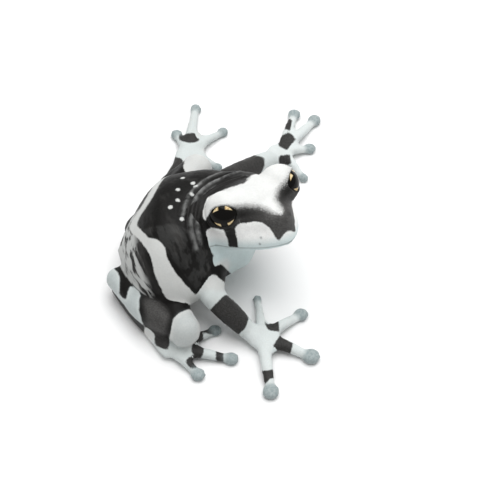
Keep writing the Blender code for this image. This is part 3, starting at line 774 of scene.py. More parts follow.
words = label_parts(skin.points)
for word in sorted(set(words)):
    print(f"{word:16} {np.count_nonzero(words == word)}")

# %% Fill the creases between forms
def crease_share(points, words):
    """How far creases fill: fully on head, neck, arms and hands, little where a leg lies on the belly."""
    share = np.full(len(points), 0.9)
    share[starts(words, "thigh", "shank", "tarsus", "foot")] = 0.25
    low_trunk = (words == "trunk") & (points[:, 2] < 8.5)
    share[low_trunk] = 0.2
    return share


share = skin.mean(skin.mean(crease_share(skin.points, words)))
skin.fill_creases(40, share)
skin.even_out(6)
print("creases filled")

# %% [markdown]
# ## Finer faces where the detail is
#
# The face and the hands need finer faces than the back. Faces in a chosen place are cut in
# four, and the smoothing settles the new points onto the curve of the old ones.

# %% Cut chosen faces in four
def finer(mesh, surface, chosen):
    """The same skin with the faces whose points are all chosen cut in four."""
    mesh.vertices.foreach_set("co", surface.points.ravel())
    shape = bmesh.new()
    shape.from_mesh(mesh)
    shape.verts.ensure_lookup_table()
    faces = [face for face in shape.faces if all(chosen[vertex.index] for vertex in face.verts)]
    edges = list({edge for face in faces for edge in face.edges})
    bmesh.ops.subdivide_edges(shape, edges=edges, cuts=1, use_grid_fill=True)
    shape.to_mesh(mesh)
    shape.free()
    mesh.update()
    fresh = Surface(mesh)
    new = np.arange(len(fresh.points)) >= len(surface.points)
    fresh.even_out(4, new * 1.0)
    return fresh


NAPE_FOLDS = (
    ((4.8, -11.0, 19.4), (3.2, -8.0, 19.6), (1.5, -5.2, 19.3), (-0.3, -3.7, 18.5), (-3.6, -3.2, 18.2),
     (-6.3, -3.2, 17.2), (-8.1, -3.6, 15.7)),
    ((7.2, -10.0, 18.0), (4.7, -6.8, 19.0), (2.5, -4.1, 19.2), (-0.3, -2.4, 19.0), (-3.9, -1.9, 18.5),
     (-7.0, -2.1, 17.4), (-9.1, -3.0, 15.6)),
    ((8.2, -7.6, 17.6), (5.9, -5.0, 18.6), (3.0, -2.6, 19.0), (-0.3, -0.9, 19.0), (-4.1, -0.4, 18.6)),
)
DOTS = (
    (1.8, 1.0, 18.6), (2.6, -2.2, 18.7), (0.6, -1.6, 18.8), (-0.9, 0.8, 18.8), (-2.5, 2.0, 18.8),
    (-5.0, -0.2, 18.5), (3.6, -1.6, 18.5), (5.4, 0.4, 17.6), (7.6, -1.8, 16.2),
)
DOT_RADIUS = 0.42


def near_dots(points, reach):
    """Mask of the points within reach of a white dot of the back."""
    return np.min([np.linalg.norm(points - dot, axis=1) for dot in DOTS], axis=0) < reach


def nostril(sign):
    """Middle of the nostril on one side."""
    s, l, u = NOSTRIL_PLACE
    return head_point(s, sign * l, u)


near_fold = np.min([path_distance(skin.points, line) for line in NAPE_FOLDS], axis=0) < 1.6
chosen = starts(words, "head", "jaw", "hand") | near_eye(skin.points, 5.0) | near_dots(skin.points, 1.8)
chosen |= near_fold
skin = finer(skin_mesh, skin, chosen)
s, l, u = in_head(skin.points).T
lips = (s < 14.5) & (np.abs(u + 0.3) < 0.9) & starts(label_parts(skin.points), "head", "jaw")
to_nostril = [np.linalg.norm(skin.points - nostril(sign), axis=1) for sign in (-1.0, 1.0)]
nostrils = np.min(to_nostril, axis=0) < 1.1
skin = finer(skin_mesh, skin, lips | nostrils | near_eye(skin.points, 4.0) | near_dots(skin.points, 1.2))
skin.even_out(2)
words = label_parts(skin.points)
print("after refining:", len(skin.points), "points,", len(skin.triangles), "triangles")

# %% [markdown]
# ## Carving the face
#
# Carving moves points along the surface's own outward direction. A groove or a ridge is a curve
# in space with a width and a height, and the bell shape of exp(-x*x) gives it soft sides. Folds,
# lips and the ear's ring are all made by one function with other numbers.

# %% Ridges and grooves along curves
def carve(line, width, height, mask=1.0):
    """Raise, or with a negative height cut, the skin along a smooth curve through places."""
    distance = path_distance(skin.points, smooth_rows(line, 8) if len(line) > 2 else line)
    skin.points += skin.normals() * (height * np.exp(-(distance / width) ** 2) * mask)[:, None]


def both_sides(rows):
    """A line given in head axes, on the right and on the left."""
    return [[head_point(s, sign * l, u) for s, l, u in rows] for sign in (-1.0, 1.0)]


# %% Lips and the line of the mouth
LIP_STATIONS = (0.0, 0.06, 0.3, 0.8, 1.6, 2.8, 4.2, 5.8, 7.4, 9.0, 10.6, 12.0, 12.9)


def mouth_level(s):
    """Height of the line of the mouth, which turns up a little at its corner."""
    return MOUTH_LEVEL + 0.05 * np.maximum(s - 9.0, 0.0)


mouth_places = [(s, mouth_half_width(s), mouth_level(s)) for s in LIP_STATIONS]
on_face = (in_head(skin.points)[:, 0] < 15.0) & ~starts(words, "upper", "fore", "hand")
for line in both_sides(mouth_places):
    carve(line, 0.75, 0.10, on_face)
    carve(line, 0.17, -0.30, on_face)
print("lips carved")

# %% Ridge from the eye to the nostril, cheeks, brows and the fold over the ear
for line in both_sides(((1.2, 2.6, 4.7), (3.0, 4.6, 5.3), (5.2, 6.3, 6.2))):
    carve(line, 0.9, 0.22)
for line in both_sides(((2.2, 3.9, 2.9), (4.4, 6.0, 3.1))):
    carve(line, 1.1, -0.28)
EAR_FOLD = ((10.6, 9.8, 4.6), (12.2, 10.0, 4.6), (13.6, 10.0, 3.4), (14.3, 9.8, 1.2), (14.6, 9.4, -1.2))
for line in both_sides(EAR_FOLD):
    carve(line, 0.5, 0.30)
print("brow and cheek carved")

# %% [markdown]
# ## Nostrils, ears and lids
#
# The nostrils are pits with a thin raised rim. The ear is a flat disc in a ring behind the eye.
# The lids are the edge of the skin where it meets the eyeball: inside an oval the skin drops
# behind the ball, and at the oval it is rolled into a rim that hugs the ball.

# %% Nostrils and ears
def pit(middle, radius, depth, rim):
    """Push in a round pit with a raised rim."""
    distance = np.linalg.norm(skin.points - middle, axis=1)
    move = rim * np.exp(-((distance - radius * 1.5) / (radius * 0.5)) ** 2)
    move -= depth * np.exp(-(distance / radius) ** 4)
    skin.points += skin.normals() * move[:, None]


for sign in (-1.0, 1.0):
    pit(nostril(sign), 0.26, 0.42, 0.07)
    ear = head_point(EAR_PLACE[0], sign * (EAR_PLACE[1] + 1.2), EAR_PLACE[2])
    distance = np.linalg.norm(skin.points - ear, axis=1)
    ring = 0.08 * np.exp(-((distance - EAR_RADIUS) / 0.25) ** 2)
    disc = 0.12 * np.exp(-(distance / (EAR_RADIUS * 0.8)) ** 4)
    skin.points += skin.normals() * (ring - disc)[:, None]

# %% Lids
LID_HALF = (2.75, 2.02)
IRIS_FORWARD = 0.36
RIM_HEIGHT = 0.20
RIM_PLACE = 1.10
RIM_WIDTH = 0.10
LID_CLEARANCE = 0.06
LID_SINK = 0.45
LID_REACH = 1.6


def lid_oval(places, sign):
    """Place across the opening between the lids, 1 at its edge."""
    along = places[:, 1] + sign * IRIS_FORWARD
    return np.where(places[:, 0] > 0.0, np.hypot(along / LID_HALF[0], places[:, 2] / LID_HALF[1]), 9.0)


def shape_lids(sign):
    """Sink the skin behind the eyeball inside the opening and roll its edge."""
    places = eye_places(skin.points, sign)
    radius = np.linalg.norm(places, axis=1)
    oval = lid_oval(places, sign)
    rim = RIM_HEIGHT * np.exp(-((oval - RIM_PLACE) / RIM_WIDTH) ** 2)
    wanted = np.where(oval < 1.5, np.maximum(radius, EYE_RADIUS + rim + LID_CLEARANCE), radius)
    inside = 1.0 - ramp(oval, 0.93, 1.02)
    wanted = wanted * (1.0 - inside) + (EYE_RADIUS - LID_SINK) * inside
    wanted = np.where(radius < EYE_RADIUS + LID_REACH, wanted, radius)
    skin.points += (skin.points - eye_middle(sign)) * (wanted / np.maximum(radius, 1e-6) - 1.0)[:, None]


for sign in (-1.0, 1.0):
    shape_lids(sign)
print("lids shaped")

# %% Folds behind the head
for line, height in zip(NAPE_FOLDS, (0.30, 0.26, 0.18)):
    carve(line, 0.42, height)
    carve([np.array(place) + (0.0, 0.75, 0.0) for place in line], 0.35, -height)
print("nape folds:", len(NAPE_FOLDS))

# %% [markdown]
# ## The eyes
#
# Each eye is a plain ball that stays its own piece, because a living eye turns under its lids.
# The ball keeps two attributes, its place along the corners of the eye and its place up across
# it. The iris and the pupil are drawn from them later, so no picture is needed.

# %% Eyeballs
def eyeball(name, sign):
    """An eyeball with its own coordinates kept as attributes."""
    shape = bmesh.new()
    bmesh.ops.create_uvsphere(shape, u_segments=96, v_segments=64, radius=1.0)
    places = np.array([vertex.co for vertex in shape.verts])[:, [2, 0, 1]] * (EYE_RADIUS - 0.02)
    mesh = bpy.data.meshes.new(name)
    shape.to_mesh(mesh)
    shape.free()
    points = eye_middle(sign) + places @ eye_axes(sign)
    mesh.vertices.foreach_set("co", to_model(points).ravel())
    keep_values(mesh, {"across": places[:, 1] + sign * IRIS_FORWARD, "rise": places[:, 2]})
    mesh.shade_smooth()
    turn_outward(mesh)
    return in_scene(name, mesh)


eyes = {side: eyeball("frog_eye_" + side, sign) for side, sign in (("right", -1.0), ("left", 1.0))}
print("eyes of", 2 * EYE_RADIUS, "mm")

# %% [markdown]
# ## Camera
#
# The camera stands to the frog's right and well above it, with a long lens, as in the
# photograph. The floor and the light come after the skin, because only the camera is needed
# for the markings.

# %% Camera
SENSOR = 36.0
PICTURE_WIDTH = 500.0
PANE_SCALE = 5.35
PANE_DISTANCE = 420.0
PANE_MIDDLE = np.array((2.38, -12.04, 1.41))
PANE_TURN = math.radians(-87.0)
PANE_LIFT = math.radians(51.0)


def pane_axes():
    """Right, up and towards the viewer."""
    level = math.cos(PANE_LIFT)
    back = np.array((math.sin(PANE_TURN) * level, -math.cos(PANE_TURN) * level, math.sin(PANE_LIFT)))
    right = np.array((math.cos(PANE_TURN), math.sin(PANE_TURN), 0.0))
    return np.array((right, np.cross(back, right), back))


PANE = pane_axes()


def place_camera():
    """Camera at the photograph's angle."""
    data = bpy.data.cameras.new("camera")
    data.sensor_width = SENSOR
    data.lens = SENSOR * PANE_DISTANCE / (PICTURE_WIDTH / PANE_SCALE)
    data.clip_start = 0.01
    data.clip_end = 10.0
    data.dof.use_dof = False
    thing = in_scene("camera", data)
    turn = Matrix(PANE.tolist()).transposed().to_4x4()
    stand = Vector(to_model(PANE_MIDDLE + PANE[2] * PANE_DISTANCE))
    thing.matrix_world = Matrix.Translation(stand) @ turn
    bpy.context.scene.camera = thing
    return thing


camera = place_camera()
print("camera at", tuple(round(value, 3) for value in camera.location))

# %% [markdown]
# ## Markings as outlines on a pane
#
# The bands and patches are painted by rules, with no picture. Imagine a glass pane between the
# viewer and the frog, with the outline of each patch drawn on it in millimetres. A point of the
# skin is looked up on the pane, and its distance from the outline says how deep inside the patch
# it lies. A limb's outline crosses the whole limb, so that it makes a ring all round it. The
# face looks itself up with its left side mirrored, and so both cheeks get the same mask.

# %% Outlines of the patches
OUTLINES = {
    "mask": ("head", "dark", (
        (-8.4, 5.4), (-7.8, 6.5), (-7.2, 7.4), (-6.5, 7.9), (-5.6, 8.2), (-4.5, 8.3), (-3.4, 8.2),
        (-2.2, 8.2), (-0.6, 8.4), (1.7, 8.2), (3.1, 7.7), (4.5, 6.9), (5.8, 6.6), (6.7, 7.1), (8.2, 7.9),
        (9.3, 4.9), (8.2, 3.9), (7.3, 3.9), (6.4, 3.0), (5.4, 1.7), (4.9, 2.1), (4.3, 3.1), (3.7, 4.1),
        (2.5, 5.0), (0.9, 5.4), (-0.6, 5.0), (-1.9, 5.0), (-2.6, 4.4), (-2.8, 3.9), (-2.4, 2.2),
        (-2.2, 0.4), (-3.9, 0.4), (-4.3, 2.2), (-4.9, 3.8), (-6.0, 3.9), (-7.3, 4.2), (-8.0, 3.8),
        (-8.5, 2.8), (-8.5, 0.7), (-11.2, -0.4), (-12.0, 6.5), (-10.1, 9.3),
    )),
    "nape": ("head", "dark", (
        (-13.1, 6.2), (-8.8, 6.4), (-8.6, 8.2), (-8.0, 9.7), (-6.2, 10.7), (-3.7, 11.7), (-1.9, 12.2),
        (0.4, 13.1), (2.4, 14.8), (2.2, 18.7), (-13.1, 18.7),
    )),
    "jaw_corner": ("jaw", "dark", (
        (-11.2, 1.3), (-8.3, 0.9), (-7.5, 0.0), (-6.7, -1.1), (-8.2, -2.6), (-11.2, -2.6),
    )),
    "flank_band": ("trunk", "pale", (
        (-16.6, 13.8), (-16.2, 13.3), (-17.2, 11.6), (-18.5, 9.3), (-19.6, 7.7), (-20.7, 6.0),
        (-21.3, 4.5), (-20.7, 4.1), (-19.8, 3.2), (-18.9, 2.2), (-17.4, 2.1), (-16.1, 0.9), (-15.7, 0.0),
        (-15.7, -1.1), (-15.1, -2.2), (-14.3, -3.6), (-13.3, -5.0), (-12.1, -6.4), (-10.7, -7.9),
        (-9.0, -9.2), (-8.2, -9.7), (-8.6, -12.0), (-13.8, -12.0), (-15.1, -10.1), (-16.4, -7.7),
        (-17.2, -6.0), (-17.8, -4.5), (-18.3, -2.2), (-18.9, -0.4), (-20.7, 1.9), (-22.4, 3.6),
        (-22.6, 4.5), (-21.9, 5.6), (-20.9, 7.3), (-19.6, 9.3), (-18.3, 11.6), (-17.2, 13.5),
    )),
    "under_band": ("trunk", "dark", (
        (-15.3, -10.0), (-13.1, -10.7), (-10.8, -10.7), (-8.6, -9.7), (-8.0, -10.5), (-7.3, -14.2),
        (-11.2, -15.3), (-15.9, -13.5),
    )),
    "throat_side": ("trunk", "pale", (
        (-7.2, 0.7), (-7.1, -0.4), (-5.8, -2.2), (-4.7, -3.4), (-3.7, -4.2), (-2.6, -5.4), (-0.7, -7.1),
        (9.3, -2.2), (9.3, 3.7), (-1.9, 1.9),
    )),
    "upper_arm_band": ("arm_right", "dark", (
        (-8.4, 0.0), (-7.3, -0.4), (-5.8, -2.3), (-3.7, -4.2), (-2.2, -5.2), (-3.0, -6.1), (-4.3, -6.4),
        (-5.6, -5.4), (-7.1, -4.2), (-7.9, -2.6),
    )),
    "throat_edge": ("arm_right", "pale", (
        (-7.2, 0.7), (-7.0, -0.4), (-5.6, -2.2), (-3.6, -4.1), (-1.9, -5.3), (0.0, -3.4), (-2.6, 0.7),
    )),
    "forearm_band": ("arm_right", "dark", (
        (-7.9, -11.8), (-6.5, -10.1), (-4.5, -8.2), (-2.1, -10.3), (-0.2, -12.7), (-0.9, -14.8),
        (-3.2, -16.6), (-5.6, -14.0),
    )),
    "finger_four_band": ("arm_right", "dark", (
        (2.1, -22.6), (5.0, -22.2), (4.9, -23.9), (3.7, -24.1), (2.6, -25.2), (2.1, -24.9),
    )),
    "finger_three_band": ("arm_right", "dark", (
        (4.3, -17.8), (5.6, -15.9), (8.0, -17.4), (7.5, -19.8), (4.3, -20.0),
    )),
    "finger_two_band": ("arm_right", "dark", (
        (2.6, -13.5), (5.2, -12.9), (5.6, -15.3), (3.4, -15.0),
    )),
    "palm_edge": ("arm_right", "dark", (
        (-0.6, -18.5), (1.5, -19.1), (1.5, -20.6), (0.4, -20.6),
    )),
    "far_forearm": ("arm_left", "dark", (
        (-6.4, 18.7), (2.6, 17.4), (2.8, 15.7), (1.5, 13.5), (-6.4, 12.7),
    )),
    "far_palm": ("arm_left", "dark", (
        (5.4, 17.6), (7.5, 17.9), (7.7, 16.1), (5.4, 15.7),
    )),
    "far_finger_band": ("arm_left", "dark", (
        (4.9, 20.9), (7.3, 22.1), (8.6, 20.7), (6.9, 18.7), (5.4, 19.4),
    )),
    "far_finger_bit": ("arm_left", "dark", (
        (6.2, 22.6), (6.5, 24.9), (7.9, 24.3), (7.5, 22.4),
    )),
    "heel_band": ("shank_right", "dark", (
        (-25.6, -2.2), (-22.1, -2.2), (-21.5, -5.2), (-22.8, -7.7), (-23.2, -9.5), (-24.5, -8.2),
        (-24.3, -6.4), (-24.5, -4.3), (-25.4, -3.6),
    )),
    "calf_band": ("shank_right", "dark", (
        (-20.7, -9.0), (-19.4, -6.7), (-16.6, -8.6), (-14.4, -11.0), (-14.0, -13.1), (-14.2, -15.3),
        (-15.1, -17.4), (-17.6, -16.4), (-19.8, -14.4), (-20.7, -11.6),
    )),
    "knee_cap": ("knee_right", "pale", (
        (-14.4, -12.9), (-13.1, -11.6), (-11.2, -11.0), (-9.7, -12.7), (-9.2, -14.6), (-9.7, -16.8),
        (-11.6, -18.5), (-13.5, -18.3), (-15.3, -17.6),
    )),
    # Painted shade: the tarsus lies in shade under the shank, and this outline paints it dark.
    "tarsus_front": ("foot_right", "dark", (
        (-28.0, -5.6), (-24.7, -8.0), (-22.2, -11.2), (-19.6, -13.6), (-19.8, -15.5), (-24.3, -15.0),
        (-28.0, -9.3),
    )),
    "tarsus_rear": ("foot_right", "dark", (
        (-17.8, -14.8), (-15.1, -16.4), (-15.1, -18.9), (-17.8, -17.8),
    )),
    "sole_side": ("foot_right", "dark", (
        (-11.6, -13.5), (-9.0, -13.5), (-8.6, -19.1), (-9.3, -20.6), (-10.8, -19.4),
    )),
    "toe_four_band": ("foot_right", "dark", (
        (-12.3, -20.6), (-10.1, -19.4), (-9.0, -21.3), (-10.8, -22.6),
    )),
    "toe_three_band": ("foot_right", "dark", (
        (-6.5, -17.8), (-4.9, -18.1), (-4.9, -21.3), (-6.4, -20.7),
    )),
    # Painted shade: the inner toe lies in shade under the belly, and this outline paints it dark.
    "inner_toe_shade": ("foot_right", "dark", (
        (-9.3, -12.5), (-5.8, -12.7), (-5.8, -16.1), (-8.8, -15.5),
    )),
    "far_shin": ("leg_left", "dark", (
        (-15.9, 17.6), (-12.7, 17.2), (-12.0, 13.5), (-15.9, 12.7),
    )),
    "far_knee": ("leg_left", "pale", (
        (-12.5, 15.7), (-12.0, 17.2), (-10.8, 17.9), (-9.3, 17.9), (-7.9, 17.2), (-7.3, 15.7),
        (-7.9, 14.0), (-10.1, 13.5), (-12.0, 14.0),
    )),
    "far_toes": ("leg_left", "dark", (
        (-13.5, 21.7), (-9.3, 21.9), (-9.5, 20.2), (-11.6, 20.0), (-13.1, 20.4),
    )),
}
print(len(OUTLINES), "outlines")

# %% Distance to an outline
def on_pane(points):
    """Place of each point on the pane, in millimetres from its middle."""
    away = (points - PANE_MIDDLE) @ PANE.T
    larger = PANE_DISTANCE / (PANE_DISTANCE - away[:, 2])
    return away[:, :2] * larger[:, None]


def outline_distance(outline, places):
    """Signed distance to a closed outline, negative inside it."""
    corners = np.array(outline)
    best = np.full(len(places), 1e9)
    inside = np.zeros(len(places), bool)
    for start, end in zip(corners, np.roll(corners, -1, axis=0)):
        step = end - start
        away = places - start
        share = np.clip(away @ step / max(step @ step, 1e-9), 0.0, 1.0)
        best = np.minimum(best, np.hypot(*(away - share[:, None] * step).T))
        crosses = (start[1] > places[:, 1]) != (end[1] > places[:, 1])
        rise = step[1] if abs(step[1]) > 1e-9 else 1e-9
        left_of = places[:, 0] < start[0] + (places[:, 1] - start[1]) * step[0] / rise
        inside ^= crosses & left_of
    return np.where(inside, -best, best)


GROUPS = {
    "arm_right": ("upper_arm_right", "forearm_right", "hand_right"),
    "arm_left": ("upper_arm_left", "forearm_left", "hand_left"),
    "knee_right": ("thigh_right", "shank_right"),
    "foot_right": ("tarsus_right", "foot_right"),
    "leg_left": ("thigh_left", "shank_left", "tarsus_left", "foot_left"),
}

# %% [markdown]
# ## Dark and pale
#
# One number tells dark from pale: how many millimetres a point lies inside the dark, negative
# in the pale. Each part starts with its own ground, dark on the trunk and pale on the face and
# feet. Then the outlines and a few spots and strokes are laid over it in order. The material
# turns this number into an edge later, so the edge stays crisp between the points of the mesh.

# %% Paint the ground and the patches
DEPTH = 1.5
BELLY_EDGE = 3.6
FACING_PANE = -0.15
points = skin.points
places = on_pane(points)
s, l, u = in_head(points).T
mirrored = on_pane(LIP_FRONT + np.stack((s, -np.abs(l), u), 1) @ HEAD)
faces_pane = skin.normals() @ PANE[2]
dark = np.full(len(points), -DEPTH)


def paint(mask, distance, kind):
    """Lay a patch over the dark or the pale, where the mask allows."""
    new = np.maximum(dark, -distance) if kind == "dark" else np.minimum(dark, distance)
    dark[mask] = np.clip(new, -DEPTH, DEPTH)[mask]


def stroke(rows, kind, mask):
    """Paint along places with a radius each."""
    rows = smooth_rows(rows, 4) if len(rows) > 2 else rows
    paint(mask, path_distance(points, rows), kind)


def spot(place, radius, kind, mask):
    """Paint a round spot."""
    stroke(((*place, radius), (*place, radius)), kind, mask)


on_trunk = words == "trunk"
dark[on_trunk] = np.clip(points[on_trunk, 2] - BELLY_EDGE, -DEPTH, DEPTH)
dark[starts(words, "thigh")] = DEPTH

for name, (group, kind, outline) in OUTLINES.items():
    mask = starts(words, *GROUPS.get(group, (group,)))
    if group == "trunk":
        mask &= faces_pane > FACING_PANE
    paint(mask, outline_distance(outline, mirrored if group in ("head", "jaw") else places), kind)
print("dark share of the skin:", round(float((dark > 0).mean()), 2))

# %% Spots and strokes that the pane doesn't reach
LEFT_BAND = (
    (-1.8, 8.3, 14.2, 0.24), (-0.1, 7.3, 15.4, 0.20), (1.5, 6.3, 16.4, 0.22), (3.8, 5.4, 16.5, 0.26),
    (6.5, 4.0, 15.5, 0.5), (8.8, 2.3, 13.5, 1.0), (10.3, 0.8, 11.0, 1.5), (10.9, -1.0, 8.0, 1.8),
    (10.2, -2.6, 5.5, 2.0),
)
for dot in DOTS:
    spot(dot, DOT_RADIUS, "pale", on_trunk)
stroke(LEFT_BAND, "pale", on_trunk)
LEFT_MASK = ((0.8, 2.4, 3.4, 1.3), (2.6, 4.5, 4.2, 1.6), (5.4, 6.9, 5.0, 1.7))
left_mask = [(*head_point(back, left, up), wide) for back, left, up, wide in LEFT_MASK]
stroke(left_mask, "dark", words == "head")
BROW_START = 1.2
BROW_END = 1.7
for sign in (-1.0, 1.0):
    spot(head_point(10.2, sign * 6.4, 8.8), 1.9, "pale", words == "head")
    at_eye = eye_places(points, sign)
    above_lid = np.max([2.4 * (BROW_START - lid_oval(at_eye, sign)), -sign * at_eye[:, 1] - 1.5,
                        -0.4 - at_eye[:, 2], lid_oval(at_eye, sign) - BROW_END], axis=0)
    paint(words == "head", above_lid, "pale")
stroke(((7.4, -9.4, 8.0, 3.4), (8.0, -7.4, 9.0, 3.4)), "dark", on_trunk)
stroke(((15.4, 2.6, 4.4, 3.4), (12.6, 4.8, 4.1, 3.2)), "dark", starts(words, "shank_left"))
spot((18.6, -1.2, 5.2), 3.3, "pale", starts(words, "thigh_left", "shank_left"))
stroke(((8.0, -7.4, 8.2, 3.4), (12.6, -7.0, 7.0, 2.6)), "dark", starts(words, "upper_arm_left"))
print("dots:", len(DOTS))

# %% [markdown]
# ## Tints
#
# Softer attributes go with the bands, each from 0 to 1 or a little more. Teal is the blue-green
# milk tint of the lips, the throat and the hands. Chalk says how white the pale skin is, and it
# also carries painted shade, which greys the top of the head, the crown and the brows.
# Smoke thins the black to an even grey, as on the mask and the calf. Marble lets grey streaks
# into it, most of all on the rump. A painted highlight lightens the tops of the nape's folds, and
# soft blurs the edge of the mask over the eyes. Pad greys the round toe pads, and on the thigh
# and the shank it paints a grey shade over the pale knee. A painted shade darkens the line of
# the mouth, and two specks on the lip are darkened with it.

# %% Paint the tints
def soft_outline(outline, reach):
    """1 inside an outline, falling to 0 within reach of it."""
    return 1.0 - ramp(outline_distance(outline, places), 0.0, reach)


teal = np.zeros(len(points))
on_head = words == "head"
teal[on_head] = 0.85 * (1.0 - ramp(u[on_head], 0.0, 2.2))
teal[words == "jaw"] = 0.95
teal[on_trunk] = 0.9 * ramp(-points[on_trunk, 1], 3.0, 8.0)
teal[starts(words, "hand", "foot", "forearm", "shank")] = 0.35

chalk_and_shade = np.zeros(len(points))
# Painted shade: the top of the head is painted greyer where the lamp overhead falls most, and soft grey
# shade is painted on the crown and over each brow. The whiteness of the lips, jaw and hands is the skin's
# own.
crown_shade = 1.0 - ramp(np.linalg.norm(mirrored - (5.0, 13.4), axis=1), 1.2, 2.6)
brow_shade = 1.0 - ramp(np.linalg.norm((mirrored - (-5.6, 8.1)) * (0.5, 1.6), axis=1), 0.6, 2.2)
top_shade = 0.45 * ramp(u, 4.5, 6.0)
chalk_and_shade[on_head] = (1.0 - top_shade - 0.4 * crown_shade - 0.4 * brow_shade)[on_head]
chalk_and_shade[words == "jaw"] = 0.55
chalk_and_shade[starts(words, "hand")] = 0.35

FLANK = ((-20.5, 3.6), (-17.0, 2.0), (-15.0, -1.0), (-9.0, -8.6), (-7.2, -2.5), (-9.4, 2.6), (-15.0, 5.0))
flank = soft_outline(FLANK, 1.5)
marble = np.zeros(len(points))
marble[on_trunk] = 0.25 + 0.15 * flank[on_trunk]
rump = 1.0 - ramp(places[:, 0] + 0.35 * np.minimum(places[:, 1], 0.0), -23.0, -19.5)
marble[on_trunk] = np.maximum(marble, 1.35 * rump)[on_trunk]
CALF = ((-19.4, -9.6), (-17.4, -9.2), (-15.4, -12.0), (-16.4, -15.6), (-18.8, -13.8))
calf = soft_outline(CALF, 1.0)
marble[words == "shank_right"] = 0.2 * calf[words == "shank_right"]
marble[starts(words, "forearm")] = 0.25
# Painted highlight: a pale line along the top of each fold behind the head, standing in for sheen.
fold_highlight = np.zeros(len(points))
for line, strength in zip(NAPE_FOLDS, (1.0, 0.85, 0.6)):
    away = path_distance(points, smooth_rows(line, 8))
    fold_highlight[on_trunk] = np.maximum(fold_highlight, strength * np.exp(-(away / 0.38) ** 2))[on_trunk]

to_patch = -outline_distance(OUTLINES["mask"][2], mirrored)
soft = np.zeros(len(points))
soft[on_head] = (ramp(u, 4.4, 5.6) * ramp(-s, -7.6, -6.2))[on_head]
for sign in (-1.0, 1.0):
    at_eye = eye_places(points, sign)
    lid_shade = (1.0 - ramp(lid_oval(at_eye, sign), 1.4, 2.0)) * ramp(at_eye[:, 2], 0.3, 1.4)
    soft[on_head] = np.maximum(soft, 0.8 * lid_shade)[on_head]
smoke = np.zeros(len(points))
patch_edge = 1.0 - ramp(to_patch, 0.0, 1.8)
smoke[on_head] = (0.12 + 0.75 * ramp(-s, -5.0, -0.5) + 0.55 * soft * patch_edge)[on_head]
smoke[starts(words, "forearm", "hand", "foot", "tarsus")] = 0.45
smoke[words == "shank_right"] = 0.85 * calf[words == "shank_right"]

# Painted shade: on the pale knee of the near thigh and shank, pad paints a grey shade. On the toe pads
# below, the grey is their own colour.
pad = 0.42 * ramp(-dark, 0.1, 0.6) * starts(words, "thigh_right", "shank_right")
for end, heading, size in PADS:
    reach = (points - end) @ heading
    away = np.linalg.norm(points - end, axis=1)
    on_pad = ramp(reach, -size * 1.1, -size * 0.4) * (1.0 - ramp(away, size * 1.25, size * 1.6))
    pad = np.maximum(pad, on_pad)

for _ in range(2):
    dark, teal, smoke, soft, marble, chalk_and_shade, pad = (
        skin.mean(values) for values in (dark, teal, smoke, soft, marble, chalk_and_shade, pad))

# Painted shade: a thin dark line along the groove of the mouth, where shade falls between lip and jaw.
# Two dark specks on the lip are added to the same attribute.
beside = (np.abs(l) > mouth_half_width(np.clip(s, 0.0, HEAD_LENGTH)) - 1.5) & starts(words, "head", "jaw")
mouth_shade_and_specks = np.where(beside & (s < 14.8), np.exp(-((u - mouth_level(s)) / 0.12) ** 2), 0.0)
for place in ((2.6, -4.1, 1.8), (2.9, -4.4, 0.6)):
    away = np.linalg.norm(points - head_point(*place), axis=1)
    mouth_shade_and_specks = np.maximum(mouth_shade_and_specks, 1.5 * np.exp(-(away / 0.2) ** 2))
print("tints painted")

# %% [markdown]
# ## Back to metres and to Blender
#
# The arrays become a mesh in the model's frame, and the markings go along as attributes, so the
# material can read them.

# %% Write the skin object
def skin_object(surface, mesh, values):
    """The skin as an object, with its markings as attributes."""
    mesh.name = "frog_skin"
    mesh.vertices.foreach_set("co", to_model(surface.points).ravel())
    keep_values(mesh, values)
    mesh.shade_smooth()
    mesh.update()
    return in_scene("frog_skin", mesh)


tints = {
    "dark": dark, "teal": teal, "smoke": smoke, "soft": soft, "mouth_shade_and_specks": mouth_shade_and_specks,
    "fold_highlight": fold_highlight, "marble": marble, "chalk_and_shade": chalk_and_shade, "pad": pad,
}
frog = skin_object(skin, skin_mesh, tints)
print("skin of", len(skin.triangles), "triangles")

# %% [markdown]
# ## Skin grain with Geometry Nodes
#
# A frog's skin is not polished. Low, rounded granules lie over all of it, and they are real
# relief. Geometry Nodes suit a relief that follows a surface: the tree reads each point's
# place, looks up a cell pattern and moves the point along its normal. The named inputs let the
# same tree make a coarser or a finer skin. A small class first shortens the adding of nodes,
# and the materials use it as well.

# %% Helpers for nodes
class Wires:
    """A few short ways to add nodes to a tree."""

    def __init__(self, tree):
        self.tree = tree

    def node(self, kind, settings=None, **inputs):
        """Add a node, set its properties and connect or set its inputs."""
        made = self.tree.nodes.new(kind)
        for name, value in (settings or {}).items():
            setattr(made, name, value)
        for name, value in inputs.items():
            key = int(name[1:]) if name[0] == "_" else name.replace("_", " ")
            socket = made.inputs[key]
            if isinstance(value, bpy.types.NodeSocket):
                self.tree.links.new(value, socket)
            else:
                socket.default_value = value
        return made

    def math(self, operation, first, second=0.0, third=None, clamp=False):
        """A Math node's result."""
        inputs = {"_0": first, "_1": second}
        if third is not None:
            inputs["_2"] = third
        settings = {"operation": operation, "use_clamp": clamp}
        return self.node("ShaderNodeMath", settings, **inputs).outputs[0]

    def vector(self, operation, **inputs):
        """A Vector Math node."""
        return self.node("ShaderNodeVectorMath", {"operation": operation}, **inputs)

    def mix(self, share, first, second):
        """A mix of two colours."""
        made = self.tree.nodes.new("ShaderNodeMix")
        made.data_type = "RGBA"
        for index, value in ((0, share), (6, first), (7, second)):
            socket = made.inputs[index]
            if isinstance(value, bpy.types.NodeSocket):
                self.tree.links.new(value, socket)
            else:
                socket.default_value = value
        return made.outputs[2]

    def read(self, name):
        """A float attribute of the mesh."""
        return self.node("ShaderNodeAttribute", {"attribute_name": name}).outputs["Fac"]


# %% Build the grain tree
GRAIN_INPUTS = {
    "Granule Size": 0.0009, "Granule Height": 0.00003,
    "Wrinkle Size": 0.003, "Wrinkle Height": 0.00008,
}


